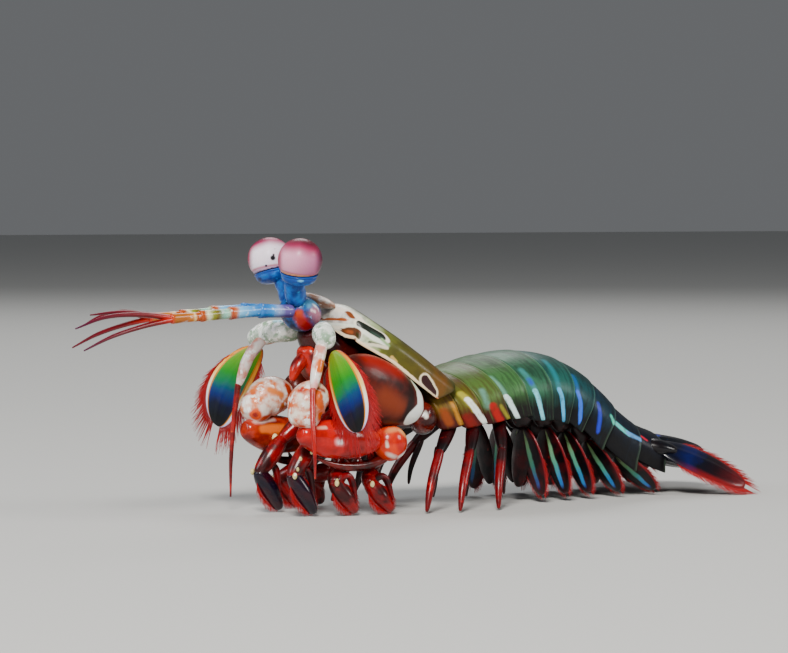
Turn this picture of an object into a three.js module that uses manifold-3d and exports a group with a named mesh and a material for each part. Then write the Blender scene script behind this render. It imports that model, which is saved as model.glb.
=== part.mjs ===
// Peacock mantis shrimp as a still, life-size model: front raised, abdomen arched, tail on the floor.
// Millimetres, +Z up. The head points along -X and the animal's left side is -Y.
// Lengths along the back are measured from the hind edge of the carapace.
import * as THREE from "three";
import { mergeVertices } from "three/addons/utils/BufferGeometryUtils.js";
import Module from "manifold-3d";

const wasm = await Module();
wasm.setup();

// Driving dimensions
const JOINT_GAP = 0.3; // between neighbouring pieces
const CLEARANCE = 0.42; // how far a neighbour is grown before it is cut away
const ORIGIN_SHIFT = { x: -3.52, y: -0.73, z: 0 }; // puts the origin under the middle of the model

const CARAPACE = {
  line: [[-15.9, 37.4], [-12.4, 37.3], [-7.8, 34.8], [0, 29.8], [8, 24.2]],
  halfWidth: [5.8, 8.2, 10, 11.2, 11.4],
  depth: [6.1, 7.2, 7, 7.5, 7.3],
  cornerForward: 3.2,
};
const BACK = [[1, 23], [6, 23.9], [13, 25.8], [20, 27.4], [27, 28.1], [34, 27.2], [39.6, 24.8], [44.6, 21.2],
  [49, 17.4], [54, 14.2], [60, 12], [67, 10.4]];
const THORAX = [
  { name: "thorax_5", length: 4.4, halfWidth: 10.4, depth: 9.5 },
  { name: "thorax_6", length: 4.2, halfWidth: 11.2, depth: 10.5 },
  { name: "thorax_7", length: 5.4, halfWidth: 11.8, depth: 11.2 },
  { name: "thorax_8", length: 5.8, halfWidth: 12.3, depth: 11.8 },
];
const ABDOMEN = [
  { name: "abdomen_1", length: 7.2, halfWidth: 12.7, depth: 13.2 },
  { name: "abdomen_2", length: 7.4, halfWidth: 12.9, depth: 13.4 },
  { name: "abdomen_3", length: 7.4, halfWidth: 12.9, depth: 13.2 },
  { name: "abdomen_4", length: 7.4, halfWidth: 12.6, depth: 12.4 },
  { name: "abdomen_5", length: 7.2, halfWidth: 12.0, depth: 11.0 },
  { name: "abdomen_6", length: 6.4, halfWidth: 10.8, depth: 8.6 },
];
const TELSON = { length: 17, halfWidth: 8.2, depth: 4.6, slope: 0.22, teeth: 6 };
const EYE = {
  radius: [3.95, 3.9, 3.85],
  centre: { left: [-25.4, 5.7, 45.4], right: [-24.3, 4.9, 45.5] },
  cutBelow: 2.3,
  cup: { radius: [2.3, 3.35, 3.35], below: 2.1 },
  stalk: {
    left: [[-23.2, -1.8, 37.6], [-24.2, -2.6, 39.6], [-25.9, -4.5, 42.2]],
    right: [[-22.2, 2, 37.4], [-22.2, 2.2, 39.8], [-23.3, 3.1, 42.5]],
  },
};
const FRINGE = { halfWidth: 0.75, halfThickness: 0.3 };

const COLOURS = {
  green: [0x4d6b33, 0.4], olive: [0x5a5a22, 0.4], teal: [0x1f5550, 0.4], navy: [0x101c38, 0.4],
  blue: [0x1c6fc4, 0.35], pink: [0xe2a9b9, 0.15], pale: [0xe6ddd2, 0.4], red: [0xb01208, 0.35],
  darkRed: [0x4c0608, 0.45], orange: [0xd9571c, 0.35], brown: [0x6e1c0c, 0.3],
};

const xAxis = new THREE.Vector3(1, 0, 0);
const yAxis = new THREE.Vector3(0, 1, 0);
const zAxis = new THREE.Vector3(0, 0, 1);
const at = (x, y, z) => new THREE.Vector3(x, y, z);
const mix = THREE.MathUtils.lerp;

// The value at t, from 0 to 1, along a short list of values.
function along(values, t) {
  const place = Math.min(Math.max(t, 0), 1) * (values.length - 1);
  const first = Math.min(Math.floor(place), values.length - 2);
  return values.length === 1 ? values[0] : mix(values[first], values[first + 1], place - first);
}

// Moves every vertex of a geometry to the point that the place function gives.
function moved(geometry, place) {
  const position = geometry.attributes.position;
  for (let i = 0; i < position.count; i++) {
    const p = place(position.getX(i), position.getY(i), position.getZ(i));
    position.setXYZ(i, p.x, p.y, p.z);
  }
  return geometry;
}

// A closed geometry as a solid with its faces pointing out.
function solidOf(geometry) {
  const plain = geometry.clone();
  plain.deleteAttribute("normal");
  plain.deleteAttribute("uv");
  const merged = mergeVertices(plain, 1e-4);
  const vertProperties = merged.attributes.position.array;
  const triVerts = new Uint32Array(merged.index.array);
  const build = () => new wasm.Manifold(new wasm.Mesh({ numProp: 3, vertProperties, triVerts }));
  const made = build();
  if (made.volume() > 0) return made;
  for (let i = 0; i < triVerts.length; i += 3)
    [triVerts[i + 1], triVerts[i + 2]] = [triVerts[i + 2], triVerts[i + 1]];
  return build();
}

function geometryOf(solid) {
  const mesh = solid.getMesh();
  const vertices = new Float32Array(mesh.numVert * 3);
  for (let i = 0; i < mesh.numVert; i++)
    vertices.set(mesh.vertProperties.subarray(i * mesh.numProp, i * mesh.numProp + 3), i * 3);
  return new THREE.BufferGeometry()
    .setAttribute("position", new THREE.BufferAttribute(vertices, 3))
    .setIndex(new THREE.BufferAttribute(new Uint32Array(mesh.triVerts), 1));
}

// The solid pushed out along its vertex normals.
function grown(solid, distance) {
  const geometry = geometryOf(solid);
  geometry.computeVertexNormals();
  const { position, normal } = geometry.attributes;
  for (let i = 0; i < position.count; i++)
    position.setXYZ(
      i,
      position.getX(i) + normal.getX(i) * distance,
      position.getY(i) + normal.getY(i) * distance,
      position.getZ(i) + normal.getZ(i) * distance,
    );
  return solidOf(geometry);
}

const joined = (...solids) => solids.reduce((whole, piece) => whole.add(piece));
const largest = (solid) => solid.decompose().sort((a, b) => b.volume() - a.volume())[0];

// A rounded limb along a curve. The halves give its half-thickness across and along the up direction, and
// past is how far it runs on beyond its two end points.
function limb(points, halves, { up = zAxis, sides = 8, rings = 9, bluntness = 0.45, past = 0 } = {}) {
  const stops = points.map((p) => at(...p));
  const [first, second] = stops;
  const [nextToLast, last] = stops.slice(-2);
  const lead = first.clone().sub(second).setLength(past);
  const trail = last.clone().sub(nextToLast).setLength(past);
  first.add(lead);
  last.add(trail);
  const track = new THREE.CatmullRomCurve3(stops, false, "centripetal");
  const ball = new THREE.SphereGeometry(1, sides, rings);
  return solidOf(moved(ball, (x, y, z) => {
    const t = (1 - y) / 2;
    const ring = Math.sqrt(Math.max(1 - y * y, 0));
    const fullness = ring > 1e-6 ? ring ** bluntness / ring : 0;
    const tangent = track.getTangent(t);
    const across = up.clone().cross(tangent).normalize();
    const upward = tangent.clone().cross(across);
    return track.getPoint(t)
      .addScaledVector(across, x * fullness * along(halves.map((h) => h[0]), t))
      .addScaledVector(upward, z * fullness * along(halves.map((h) => h[1]), t));
  }));
}

// A ball with three radii, its long axis turned to lie along a direction.
function ball(centre, radii, { sides = 12, rings = 9, towards = null } = {}) {
  const geometry = new THREE.SphereGeometry(1, sides, rings).scale(radii[0], radii[1], radii[2]);
  if (towards)
    geometry.applyQuaternion(new THREE.Quaternion().setFromUnitVectors(xAxis, at(...towards).normalize()));
  return solidOf(geometry.translate(...centre));
}

// A thin leaf from its root to its tip. Its face looks along facing, and bow pushes its middle out.
function leaf({
  root, tip, halfWidth, halfThickness, facing, bow = [0, 0, 0], belly = 0.5, sides = 8, rings = 7,
}) {
  const from = at(...root);
  const lengthwise = at(...tip).sub(from);
  const across = at(...facing).cross(lengthwise).normalize();
  const normal = lengthwise.clone().normalize().cross(across);
  const point = (u, w, t) => from.clone()
    .addScaledVector(lengthwise, t)
    .addScaledVector(at(...bow), 4 * t * (1 - t))
    .addScaledVector(across, u)
    .addScaledVector(normal, w);
  const widest = (t) => (4 * t * (1 - t)) ** 0.5 * (1 + (belly - 0.5) * 2 * (t - 0.5));
  const blade = solidOf(moved(new THREE.SphereGeometry(1, sides, rings), (x, y, z) => {
    const t = (1 - y) / 2;
    const ring = Math.sqrt(Math.max(1 - y * y, 0));
    if (ring < 1e-6) return point(0, 0, t);
    return point(halfWidth * widest(t) * (x / ring), halfThickness * ring ** 0.3 * (z / ring), t);
  }));
  return { blade, point, widest, halfWidth, length: lengthwise.length() };
}

// Tapered bristles round a leaf's margin, from one side over the tip to the other.
function fringe(shape, { count, length, tipLength = length, from = 0.3 }) {
  const bristles = [];
  for (let i = 0; i < count; i++) {
    const turn = mix(-1, 1, i / (count - 1));
    const t = Math.min(mix(1, from, Math.abs(turn) ** 1.25), 0.985);
    const side = Math.sign(turn) || 1;
    const edge = shape.point(side * shape.halfWidth * shape.widest(t) * 0.9, 0, mix(t, 0.5, 0.06));
    const outward = shape.point(side * Math.abs(turn) ** 0.6 * 0.8 * shape.length, 0, 1.35)
      .sub(shape.point(0, 0, 0.35)).normalize();
    const reach = mix(tipLength, length, Math.abs(turn)) * (1 + 0.12 * Math.sin(i * 2.4)) + 0.7;
    const normal = shape.point(0, 1, 0).sub(shape.point(0, 0, 0));
    const across = normal.clone().cross(outward).normalize();
    const cone = new THREE.ConeGeometry(1, 1, 4, 1).rotateY(Math.PI / 4).translate(0, 0.5, 0);
    bristles.push(solidOf(moved(cone, (x, y, z) => edge.clone()
      .addScaledVector(outward, y * reach - 0.7)
      .addScaledVector(across, x * Math.SQRT2 * FRINGE.halfWidth)
      .addScaledVector(normal, z * Math.SQRT2 * FRINGE.halfThickness))));
  }
  return joined(...bristles);
}

// Parts are kept by name, so that a later part can be cut clear of the ones that it grows from.
const built = new Map();
const model = new THREE.Group();
model.position.set(ORIGIN_SHIFT.x, ORIGIN_SHIFT.y, ORIGIN_SHIFT.z);

const floorBlock = solidOf(new THREE.BoxGeometry(400, 200, 20).translate(0, 0, -10));

// With whole set, later parts are cut clear of the uncut solid.
function part(name, colour, solid, meets = [], whole = false) {
  const clear = (rest, other) => rest.subtract(built.get(other).grown);
  const cut = meets.reduce(clear, solid.subtract(floorBlock));
  const kept = largest(cut);
  built.set(name, { solid: kept, grown: grown(whole ? solid : kept, CLEARANCE) });
  const [shade, roughness] = COLOURS[colour];
  const material = new THREE.MeshStandardMaterial({ color: shade, roughness, metalness: 0 });
  const mesh = new THREE.Mesh(geometryOf(kept), material);
  mesh.name = name;
  model.add(mesh);
}

// The same maker for both sides: the left side is -1 and the right side +1.
function pair(make) {
  make("left", -1);
  make("right", 1);
}

// A place on a line along the back: s is the length along it, y across, and depth is measured down from it.
function tracked(points) {
  const line = new THREE.CatmullRomCurve3(points.map(([x, z]) => at(x, 0, z)), false, "centripetal");
  const length = line.getLength();
  const place = (s, y, depth) => {
    const t = THREE.MathUtils.clamp(s / length, 0, 1);
    const tangent = line.getTangentAt(t);
    const beyond = s - t * length;
    return line.getPointAt(t)
      .addScaledVector(tangent, beyond)
      .addScaledVector(at(-tangent.z, 0, tangent.x), -depth)
      .add(at(0, y, 0));
  };
  return { place, length };
}

// The cross-section of a body ring, 1 wide each way and 1 deep: an arch whose flaps hang past the belly.
function ringSection({ belly = 0.72, flapInside = 0.8 } = {}) {
  const shape = new THREE.Shape();
  shape.moveTo(1, -0.62);
  shape.absellipse(0, -0.62, 1, 0.62, 0, Math.PI, false);
  shape.lineTo(-0.96, -1);
  shape.lineTo(-flapInside, -belly - 0.05);
  shape.lineTo(0, -belly);
  shape.lineTo(flapInside, -belly - 0.05);
  shape.lineTo(0.96, -1);
  return shape;
}

// A body ring between two places on a line, a little wider at its hind edge than at its front.
function bodyRing(track, from, to, { halfWidth, depth, lag = 1.4, front = 0.955, section = ringSection() }) {
  const block = new THREE.ExtrudeGeometry(section, {
    depth: 1, steps: 2, bevelEnabled: false, curveSegments: 12,
  });
  return solidOf(moved(block, (x, y, z) => {
    const size = mix(front, 1, z ** 0.8);
    const s = mix(from, to, z) + lag * (-y) ** 3;
    return track.place(s, x * size * halfWidth, -y * size * depth + (1 - size) * 4);
  }));
}

// Carapace: a smooth arched shield, narrow at the head and wide behind
const shield = tracked(CARAPACE.line);
function carapace() {
  const block = new THREE.ExtrudeGeometry(ringSection({ belly: 0.7, flapInside: 0.84 }), {
    depth: 1, steps: 6, bevelEnabled: false, curveSegments: 14,
  });
  return solidOf(moved(block, (x, y, z) => {
    const s = z * (shield.length - CARAPACE.cornerForward * y ** 2);
    return shield.place(s, x * along(CARAPACE.halfWidth, z), -y * along(CARAPACE.depth, z));
  }));
}
part("carapace", "olive", carapace());

// Rostral plate: the small pointed lid in front of the carapace
part("rostral_plate", "pale",
  limb([[-15, 0, 36.8], [-18.4, 0, 38.4], [-21.8, 0, 39.4]], [[4, 0.9], [3.4, 0.8], [0.7, 0.5]],
    { sides: 10, rings: 7 }),
  ["carapace"]);

// Free thorax and abdomen rings along the arched back
const back = tracked(BACK);
let reached = 0;
const ringStart = {};
const ringsInOrder = [...THORAX, ...ABDOMEN];
ringsInOrder.forEach((ring, i) => {
  ringStart[ring.name] = reached;
  const colour = i < 3 ? "olive" : i < 7 ? "green" : i < 9 ? "teal" : "navy";
  part(ring.name, colour, bodyRing(back, reached, reached + ring.length - JOINT_GAP, ring),
    i < 2 ? ["carapace"] : [], i < 2);
  reached += ring.length;
});

// Telson: a rounded plate with a keel, ridges and blunt teeth on its hind margin
function telson() {
  const root = back.place(reached, 0, 1.5);
  const plate = leaf({
    root: [root.x - 0.6, 0, root.z - 1.6],
    tip: [root.x + TELSON.length, 0, root.z - 1.6 - TELSON.length * TELSON.slope],
    halfWidth: TELSON.halfWidth, halfThickness: TELSON.depth / 2, facing: [0, 0, 1], sides: 12, rings: 8,
  });
  const ridges = [-0.4, 0, 0.4].map((share) => {
    const y = share * 2 * TELSON.halfWidth * 0.62;
    const [near, far] = [plate.point(y, 1.2, 0.12), plate.point(y * 0.9, 0.8, 0.86 - 0.3 * Math.abs(share))];
    return limb([near.toArray(), near.clone().lerp(far, 0.5).toArray(), far.toArray()],
      [[0.6, 0.9], [0.8, 1.2], [0.5, 0.8]], { sides: 6, rings: 4 });
  });
  const teeth = [];
  for (let i = 0; i < TELSON.teeth; i++) {
    const turn = mix(-0.85, 0.85, i / (TELSON.teeth - 1));
    const t = mix(0.96, 0.72, Math.abs(turn));
    const edge = plate.point(Math.sign(turn) * plate.halfWidth * plate.widest(t) * 0.8, 0, t - 0.04);
    const tooth = plate.point(Math.sign(turn) * plate.halfWidth * (plate.widest(t) * 0.8 + 0.1), 0, t + 0.2);
    teeth.push(limb([edge.toArray(), tooth.toArray()], [[1.3, 0.9], [0.5, 0.5]], { sides: 5, rings: 3 }));
  }
  return joined(plate.blade, ...ridges, ...teeth);
}
part("telson", "navy", telson(), ["abdomen_6"]);

// Chest: the body under the carapace that carries the head and the front limbs
part("chest", "brown",
  limb([[-20, 0, 33], [-14.6, 0, 28.4], [-7, 0, 22.6], [0, 0, 18.2], [5.6, 0, 16.4]],
    [[4.8, 3.4], [5.4, 4.6], [5.6, 5], [5.8, 4.6], [5.4, 3.4]], { sides: 10, rings: 10 }),
  ["carapace", "rostral_plate", "thorax_5", "thorax_6"]);

// Head block that the eyes and antennules grow from
part("head", "blue",
  limb([[-18.8, 0, 34.2], [-21.8, 0, 36.2], [-24.4, 0, 37.2]], [[4.2, 3.2], [4.3, 3.2], [3.2, 2.5]],
    { sides: 10, rings: 7 }),
  ["chest", "carapace", "rostral_plate"]);

// Eyestalks with the cup that holds each cornea, and the corneas
pair((side, sign) => {
  const [x, y, z] = EYE.centre[side];
  const lean = at(-0.1, sign * 0.25, 1).normalize();
  const seat = at(x, sign * y, z).addScaledVector(lean, -EYE.cup.below);
  const cup = ball(seat.toArray(), EYE.cup.radius, { sides: 8, rings: 6, towards: lean.toArray() });
  const stalk = limb(EYE.stalk[side], [[2.1, 2], [1.9, 1.9], [2, 2]], { up: xAxis, sides: 7, rings: 6 });
  const cutter = solidOf(new THREE.BoxGeometry(30, 30, 30)
    .translate(0, 0, 15 - EYE.cutBelow)
    .applyQuaternion(new THREE.Quaternion().setFromUnitVectors(zAxis, lean))
    .translate(x, sign * y, z));
  part(`eyestalk_${side}`, "blue", joined(cup, stalk).subtract(cutter),
    side === "left" ? ["head", "rostral_plate"] : ["head", "rostral_plate", "eyestalk_left"]);
  part(`eye_${side}`, "pink", ball([x, sign * y, z], EYE.radius, { sides: 12, rings: 9 }),
    [`eyestalk_${side}`]);
});

// Antennules: a jointed stalk that ends in three whips
const STALK_JOINTS = [[-25, 36.3], [-32, 36.5], [-38.6, 36.2], [-44.8, 35.8], [-51, 35.5]];
const STALK_HALVES = [1.3, 1.15, 1, 0.9];
const WHIPS = [
  { tip: [-70.4, 34.2], spread: 1.3, arch: 1.8 },
  { tip: [-70.4, 30.6], spread: 2.4, arch: 0.9 },
  { tip: [-66.4, 36.4], spread: 0.6, arch: 0.8 },
];
pair((side, sign) => {
  const y = sign * 2.4;
  const joint = STALK_JOINTS.map(([x, z], i) => [x, y * (1 + i * 0.1), z]);
  const stalks = STALK_HALVES.map((half, i) =>
    limb([joint[i], joint[i + 1]], [[half * 0.9, half], [half, half * 1.05], [half * 0.92, half]],
      { sides: 6, rings: 5, bluntness: 0.3, past: 0.35 }));
  const shorter = side === "left" ? 0 : 5;
  const start = [joint[4][0] + 0.8, joint[4][1], joint[4][2]];
  const whips = WHIPS.map(({ tip, spread, arch }) => {
    const end = [tip[0] + shorter, y * spread, tip[1]];
    const between = (t) => start.map((value, i) => mix(value, end[i], t));
    const [near, far] = [between(0.35), between(0.7)];
    near[2] += arch * 0.7;
    far[2] += arch * 0.8;
    return limb([start, near, far, end], [[0.62, 0.62], [0.5, 0.5], [0.42, 0.42], [0.28, 0.28]],
      { sides: 5, rings: 6 });
  });
  part(`antennule_${side}`, "blue", joined(...stalks, ...whips), ["head", `eyestalk_${side}`]);
});

// Antennae: a bulky base, a short jointed stalk and a hanging whip
pair((side, sign) => {
  const near = side === "left";
  const outer = near ? 10.6 : 12.6;
  const base = limb([[-18.4, sign * 3.6, 32.2], [-21.6, sign * 7.4, 32.4], [-23, sign * outer, 30.8]],
    [[1.9, 2], [2.1, 2.2], [2.1, 2.1]], { sides: 8, rings: 7 });
  const stalk = near
    ? [[-22.4, -8.4, 31.6], [-24.6, -10.2, 28.4], [-27, -11.6, 22.6]]
    : [[-22.4, 8.4, 31.8], [-25.2, 9.8, 28.2], [-27.2, 10.6, 22.6]];
  const whip = near
    ? [[-27, -11.6, 23], [-28.4, -13.4, 18], [-29, -14.8, 12.5], [-29.2, -15.2, 7.6]]
    : [[-27.2, 10.6, 23], [-27.8, 11.2, 16], [-28, 11.8, 9], [-27.8, 12.2, 2.6]];
  part(`antenna_${side}`, "pale",
    joined(base,
      limb(stalk, [[1.25, 1.25], [1.15, 1.15], [0.9, 0.9]], { up: xAxis, rings: 6 }),
      limb(whip, [[0.6, 0.6], [0.5, 0.5], [0.4, 0.4], [0.28, 0.28]], { up: xAxis, sides: 6, rings: 7 })),
    ["chest", "head", "carapace"]);
});

// Antennal scales: broad leaves that hang from the antennae, edged with bristles
pair((side, sign) => {
  const shape = leaf({
    root: [-22, sign * 11, 29.6],
    tip: side === "left" ? [-20.6, -16.6, 15.4] : [-26.6, 18.4, 15],
    halfWidth: side === "left" ? 3.9 : 4.1, halfThickness: 0.7, belly: 0.62,
    bow: side === "left" ? [0, -0.6, 0.2] : [-0.4, 1.8, 0.6],
    facing: side === "left" ? [-1, -0.2, 0.1] : [-0.9, -0.5, 0.1],
  });
  part(`antennal_scale_${side}`, "green",
    joined(shape.blade, fringe(shape, { count: 13, length: 2.2, tipLength: 4.8, from: 0.2 })),
    [`antenna_${side}`, "carapace"]);
});

// Mouth: the jaw mass under the head
part("mouth", "red",
  joined(
    limb([[-20.2, 0, 30], [-18, 0, 26], [-14.5, 0, 22]], [[3, 2.2], [3.6, 2.4], [2.8, 1.8]],
      { sides: 8, rings: 6 }),
    limb([[-19.6, 0, 28.6], [-22, 0, 26.2], [-23, 0, 23.8]], [[1.6, 1.4], [1.5, 1.2], [0.9, 0.8]],
      { sides: 6, rings: 5 })),
  ["chest", "antenna_left", "antenna_right", "head"]);

// Raptorial claws, folded under the head: base, merus, carpus, propodus and the dactyl with its club
pair((side, sign) => {
  const near = side === "left";
  const claw = (name) => `claw_${name}_${side}`;
  part(claw("ischium"), "pale",
    limb([[1.2, sign * 5.2, 15.4], [0.4, sign * 8.2, 16.4], [-2.2, sign * 9.6, 18.2]],
      [[2.4, 2.4], [2.5, 2.6], [2.6, 3]], { sides: 7, rings: 6 }),
    ["chest", "carapace", "thorax_5", "thorax_6"]);
  part(claw("merus"), "brown",
    near
      ? limb([[-1.2, -8.8, 18.2], [-8, -9, 20.8], [-15.4, -9.2, 23.8], [-22, -9, 24]],
        [[3, 4.2], [3.9, 5.6], [3.8, 5.6], [3, 4.2]], { sides: 9, rings: 8 })
      : limb([[-1.2, 8.8, 18.2], [-7, 9, 20], [-12.6, 9.2, 21.4], [-17.6, 9, 21.6]],
        [[3, 4.2], [3.9, 5], [3.8, 4.8], [3, 3.8]], { sides: 9, rings: 8 }),
    [claw("ischium"), "chest", "carapace", `antenna_${side}`, `antennal_scale_${side}`]);
  part(claw("carpus"), "orange",
    near
      ? limb([[-22.6, -8.8, 22.6], [-25.8, -8.4, 20.4], [-26.8, -8.4, 16]],
        [[3, 3], [3.5, 3.7], [3, 3]], { sides: 10, rings: 7 })
      : limb([[-17.2, 8.8, 20.8], [-22.6, 8.6, 20.4], [-26.6, 8.4, 17]],
        [[3, 3.2], [3.5, 3.9], [3, 3]], { sides: 10, rings: 7 }),
    [claw("merus"), `antenna_${side}`, `antennal_scale_${side}`, "chest", "mouth"]);
  part(claw("propodus"), "red",
    limb([[-27.6, sign * 8.4, 15], [-22, sign * 8.8, 14], [-15, sign * 9.2, 13.2], [-10.2, sign * 9.2, 13]],
      [[2.5, 2.6], [2.8, 3.6], [2.5, 3.2], [1.8, 2.2]], { sides: 8, rings: 8 }),
    [claw("carpus"), claw("merus"), `antenna_${side}`, "chest"]);
  part(claw("dactyl"), "orange",
    joined(
      ball([-8, sign * 9.2, 12.6], [3.1, 2.8, 3.3], { sides: 10, rings: 8 }),
      limb([[-8.4, sign * 8.6, 10], [-13, sign * 8.4, 8.8], [-19, sign * 8.4, 9], [-23.6, sign * 8.4, 10.4]],
        [[1.3, 1.3], [1.1, 1], [0.8, 0.8], [0.35, 0.35]], { sides: 6, rings: 7 })),
    [claw("propodus"), claw("merus"), claw("ischium"), "chest", "thorax_5"]);
});

// Three pairs of small grasping limbs behind the claws, each with a rounded hand on the floor
const GRASPERS = [
  { root: [-14.5, 3.2, 19], elbow: [-22, 4.4, 13.2], wrist: [-26.6, 5, 7.4], foot: [-22.4, 5.2, 0.4] },
  { root: [-10, 3.8, 17.2], elbow: [-16, 4.8, 8], wrist: [-19.6, 8, 6], foot: [-15.8, 8.6, 0.4] },
  { root: [-5.5, 4, 15.6], elbow: [-9.4, 5.4, 7.2], wrist: [-12.8, 9.4, 5.6], foot: [-9.2, 10.6, 0.4] },
];
GRASPERS.forEach(({ root, elbow, wrist, foot }, i) => pair((side, sign) => {
  const flip = ([x, y, z]) => [x, sign * y, z];
  const previous = i > 0 ? [`grasper_${i}_${side}`] : [];
  const knuckle = [wrist[0] + 0.4, wrist[1], wrist[2] + 0.4];
  const hook = [wrist[0] + 3.1, wrist[1], wrist[2] + 1.2];
  const claw = [mix(hook[0], foot[0], 0.5) + 1, foot[1], 2.6];
  const segment = { sides: 6, rings: 5, past: 0.7 };
  part(`grasper_${i + 1}_${side}`, "darkRed",
    joined(
      limb([flip(root), flip(elbow)], [[1.5, 1.5], [1.8, 1.8], [1.5, 1.5]], { up: xAxis, ...segment }),
      limb([flip(elbow), flip(wrist)], [[1.5, 1.5], [1.8, 1.8], [1.5, 1.5]], { up: yAxis, ...segment }),
      limb([flip(wrist), flip(foot)], [[1.5, 1.7], [2.3, 1.6], [1.6, 1.2]], { up: yAxis, ...segment }),
      limb([flip(knuckle), flip(hook), flip(claw)], [[0.9, 0.8], [0.8, 0.7], [0.4, 0.4]],
        { up: yAxis, sides: 5, rings: 5 })),
    ["chest", "mouth", `claw_propodus_${side}`, `claw_dactyl_${side}`, `claw_ischium_${side}`, ...previous]);
}));

// Three pairs of slender walking legs under the free thorax rings
const LEGS = [
  { ring: "thorax_6", root: [8.6, 6.2, 15.6], knee: [1.6, 11.4, 10.8], foot: [-3.4, 14, 0.2] },
  { ring: "thorax_7", root: [13.6, 6.6, 16.6], knee: [7.6, 12.6, 10.8], foot: [2.6, 16, 0.2] },
  { ring: "thorax_8", root: [19, 6.6, 17.2], knee: [15, 12.8, 10.6], foot: [11, 16.6, 0.2] },
];
LEGS.forEach(({ ring, root, knee, foot }, i) => pair((side, sign) => {
  const flip = ([x, y, z]) => [x, sign * y, z];
  const previous = i > 0 ? [`leg_${i}_${side}`] : [];
  const ankle = [mix(knee[0], foot[0], 0.55) - 0.8, mix(knee[1], foot[1], 0.7), mix(knee[2], foot[2], 0.55)];
  const branch = [
    [knee[0] + 0.6, knee[1] - 1.6, knee[2] + 0.8],
    [ankle[0] + 2.6, ankle[1] - 2, ankle[2] + 1],
    [foot[0] + 3.4, foot[1] - 2.6, 2.6],
  ];
  const segment = { sides: 6, rings: 5, past: 0.7 };
  part(`leg_${i + 1}_${side}`, "red",
    joined(
      limb([flip(root), flip(knee)], [[1.5, 1.5], [1.3, 1.3], [1.1, 1.1]], segment),
      limb([flip(knee), flip(ankle), flip(foot)], [[1.15, 1.15], [0.95, 0.95], [0.8, 0.8], [0.55, 0.55]],
        { up: yAxis, ...segment, rings: 7 }),
      limb(branch.map(flip), [[0.7, 0.7], [0.6, 0.6], [0.4, 0.4]], { up: yAxis, sides: 5, rings: 5 })),
    [ring, "chest", "thorax_5", `claw_ischium_${side}`, `claw_dactyl_${side}`, ...previous]);
}));

// Five pairs of swimming limbs: a short base and two fringed leaves hanging under each abdomen ring
for (let i = 0; i < 5; i++) {
  const ring = ABDOMEN[i];
  const middle = ringStart[ring.name] + ring.length * 0.5;
  pair((side, sign) => {
    const top = back.place(middle, sign * 6.6, ring.depth * 0.69);
    const trail = [2.2, 3, 4.4, 7, 9.5][i];
    const low = [1.4, 1.4, 1.3, 1.2, 1.1][i];
    const shoulder = top.clone().lerp(at(top.x + trail, top.y, low), 0.28);
    const outer = leaf({
      root: shoulder.toArray(), tip: [top.x + trail, sign * 10.2, low],
      halfWidth: 3.1, halfThickness: 0.6, facing: [1, 0, 0.25], sides: 8, rings: 5,
    });
    const inner = leaf({
      root: shoulder.toArray(), tip: [top.x + trail - 0.8, sign * 4, low + 1.2],
      halfWidth: 2.4, halfThickness: 0.6, facing: [1, 0, 0.25], sides: 6, rings: 5,
    });
    part(`pleopod_${i + 1}_${side}`, "darkRed",
      joined(
        limb([[top.x, top.y, top.z + 0.6], shoulder.toArray()], [[2.6, 1.3], [3, 1.5], [2.2, 1.1]],
          { up: xAxis, sides: 6, rings: 5 }),
        outer.blade, inner.blade,
        fringe(outer, { count: 4, length: 1.2, tipLength: 1.2, from: 0.6 })),
      [`leg_3_${side}`, ...ABDOMEN.slice(Math.max(i - 1, 0), i + 2).map((near) => near.name)]);
  });
}

// Uropods: each a base and two fringed leaves beside the telson, resting on the floor
pair((side, sign) => {
  const hip = back.place(reached - 2.4, sign * 8.6, 4);
  const outer = leaf({
    root: [hip.x + 1, hip.y, hip.z], tip: [hip.x + 15.8, sign * 18.4, 1.4],
    halfWidth: 3.7, halfThickness: 0.85, facing: [0.1, sign * 1.1, 1], bow: [0, 0, 0.6],
  });
  const inner = leaf({
    root: [hip.x + 1, hip.y, hip.z], tip: [hip.x + 18.4, sign * 12.2, 3],
    halfWidth: 2.9, halfThickness: 0.8, facing: [0.1, sign * 0.6, 1], bow: [0, 0, 1], sides: 8, rings: 5,
  });
  part(`uropod_${side}`, "navy",
    joined(
      limb([[hip.x - 2.2, hip.y - sign * 1.2, hip.z + 0.4], [hip.x + 4.6, hip.y + sign * 2.4, hip.z - 1.1]],
        [[2, 1.5], [2.6, 1.7], [2, 1.2]], { sides: 8, rings: 6 }),
      outer.blade, inner.blade,
      fringe(outer, { count: 9, length: 2.2, tipLength: 3.4, from: 0.3 }),
      fringe(inner, { count: 5, length: 1.8, tipLength: 3.2, from: 0.6 })),
    ["abdomen_6", "telson", "abdomen_5", `pleopod_5_${side}`]);
});

export default model;
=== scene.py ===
import math
import random

import bpy
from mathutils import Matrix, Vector


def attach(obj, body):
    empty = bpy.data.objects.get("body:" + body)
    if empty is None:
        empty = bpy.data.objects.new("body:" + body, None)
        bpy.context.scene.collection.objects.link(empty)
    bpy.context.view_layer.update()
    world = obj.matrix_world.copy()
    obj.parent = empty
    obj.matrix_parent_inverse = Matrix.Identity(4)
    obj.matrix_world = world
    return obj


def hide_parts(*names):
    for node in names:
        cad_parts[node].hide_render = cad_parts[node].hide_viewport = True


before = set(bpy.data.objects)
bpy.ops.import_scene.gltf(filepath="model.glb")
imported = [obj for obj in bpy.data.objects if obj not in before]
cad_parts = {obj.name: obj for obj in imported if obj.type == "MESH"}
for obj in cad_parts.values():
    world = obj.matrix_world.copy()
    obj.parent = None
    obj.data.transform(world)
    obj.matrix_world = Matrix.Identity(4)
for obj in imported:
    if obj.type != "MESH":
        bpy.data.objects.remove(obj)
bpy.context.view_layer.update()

draw = random.Random(7)

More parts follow.
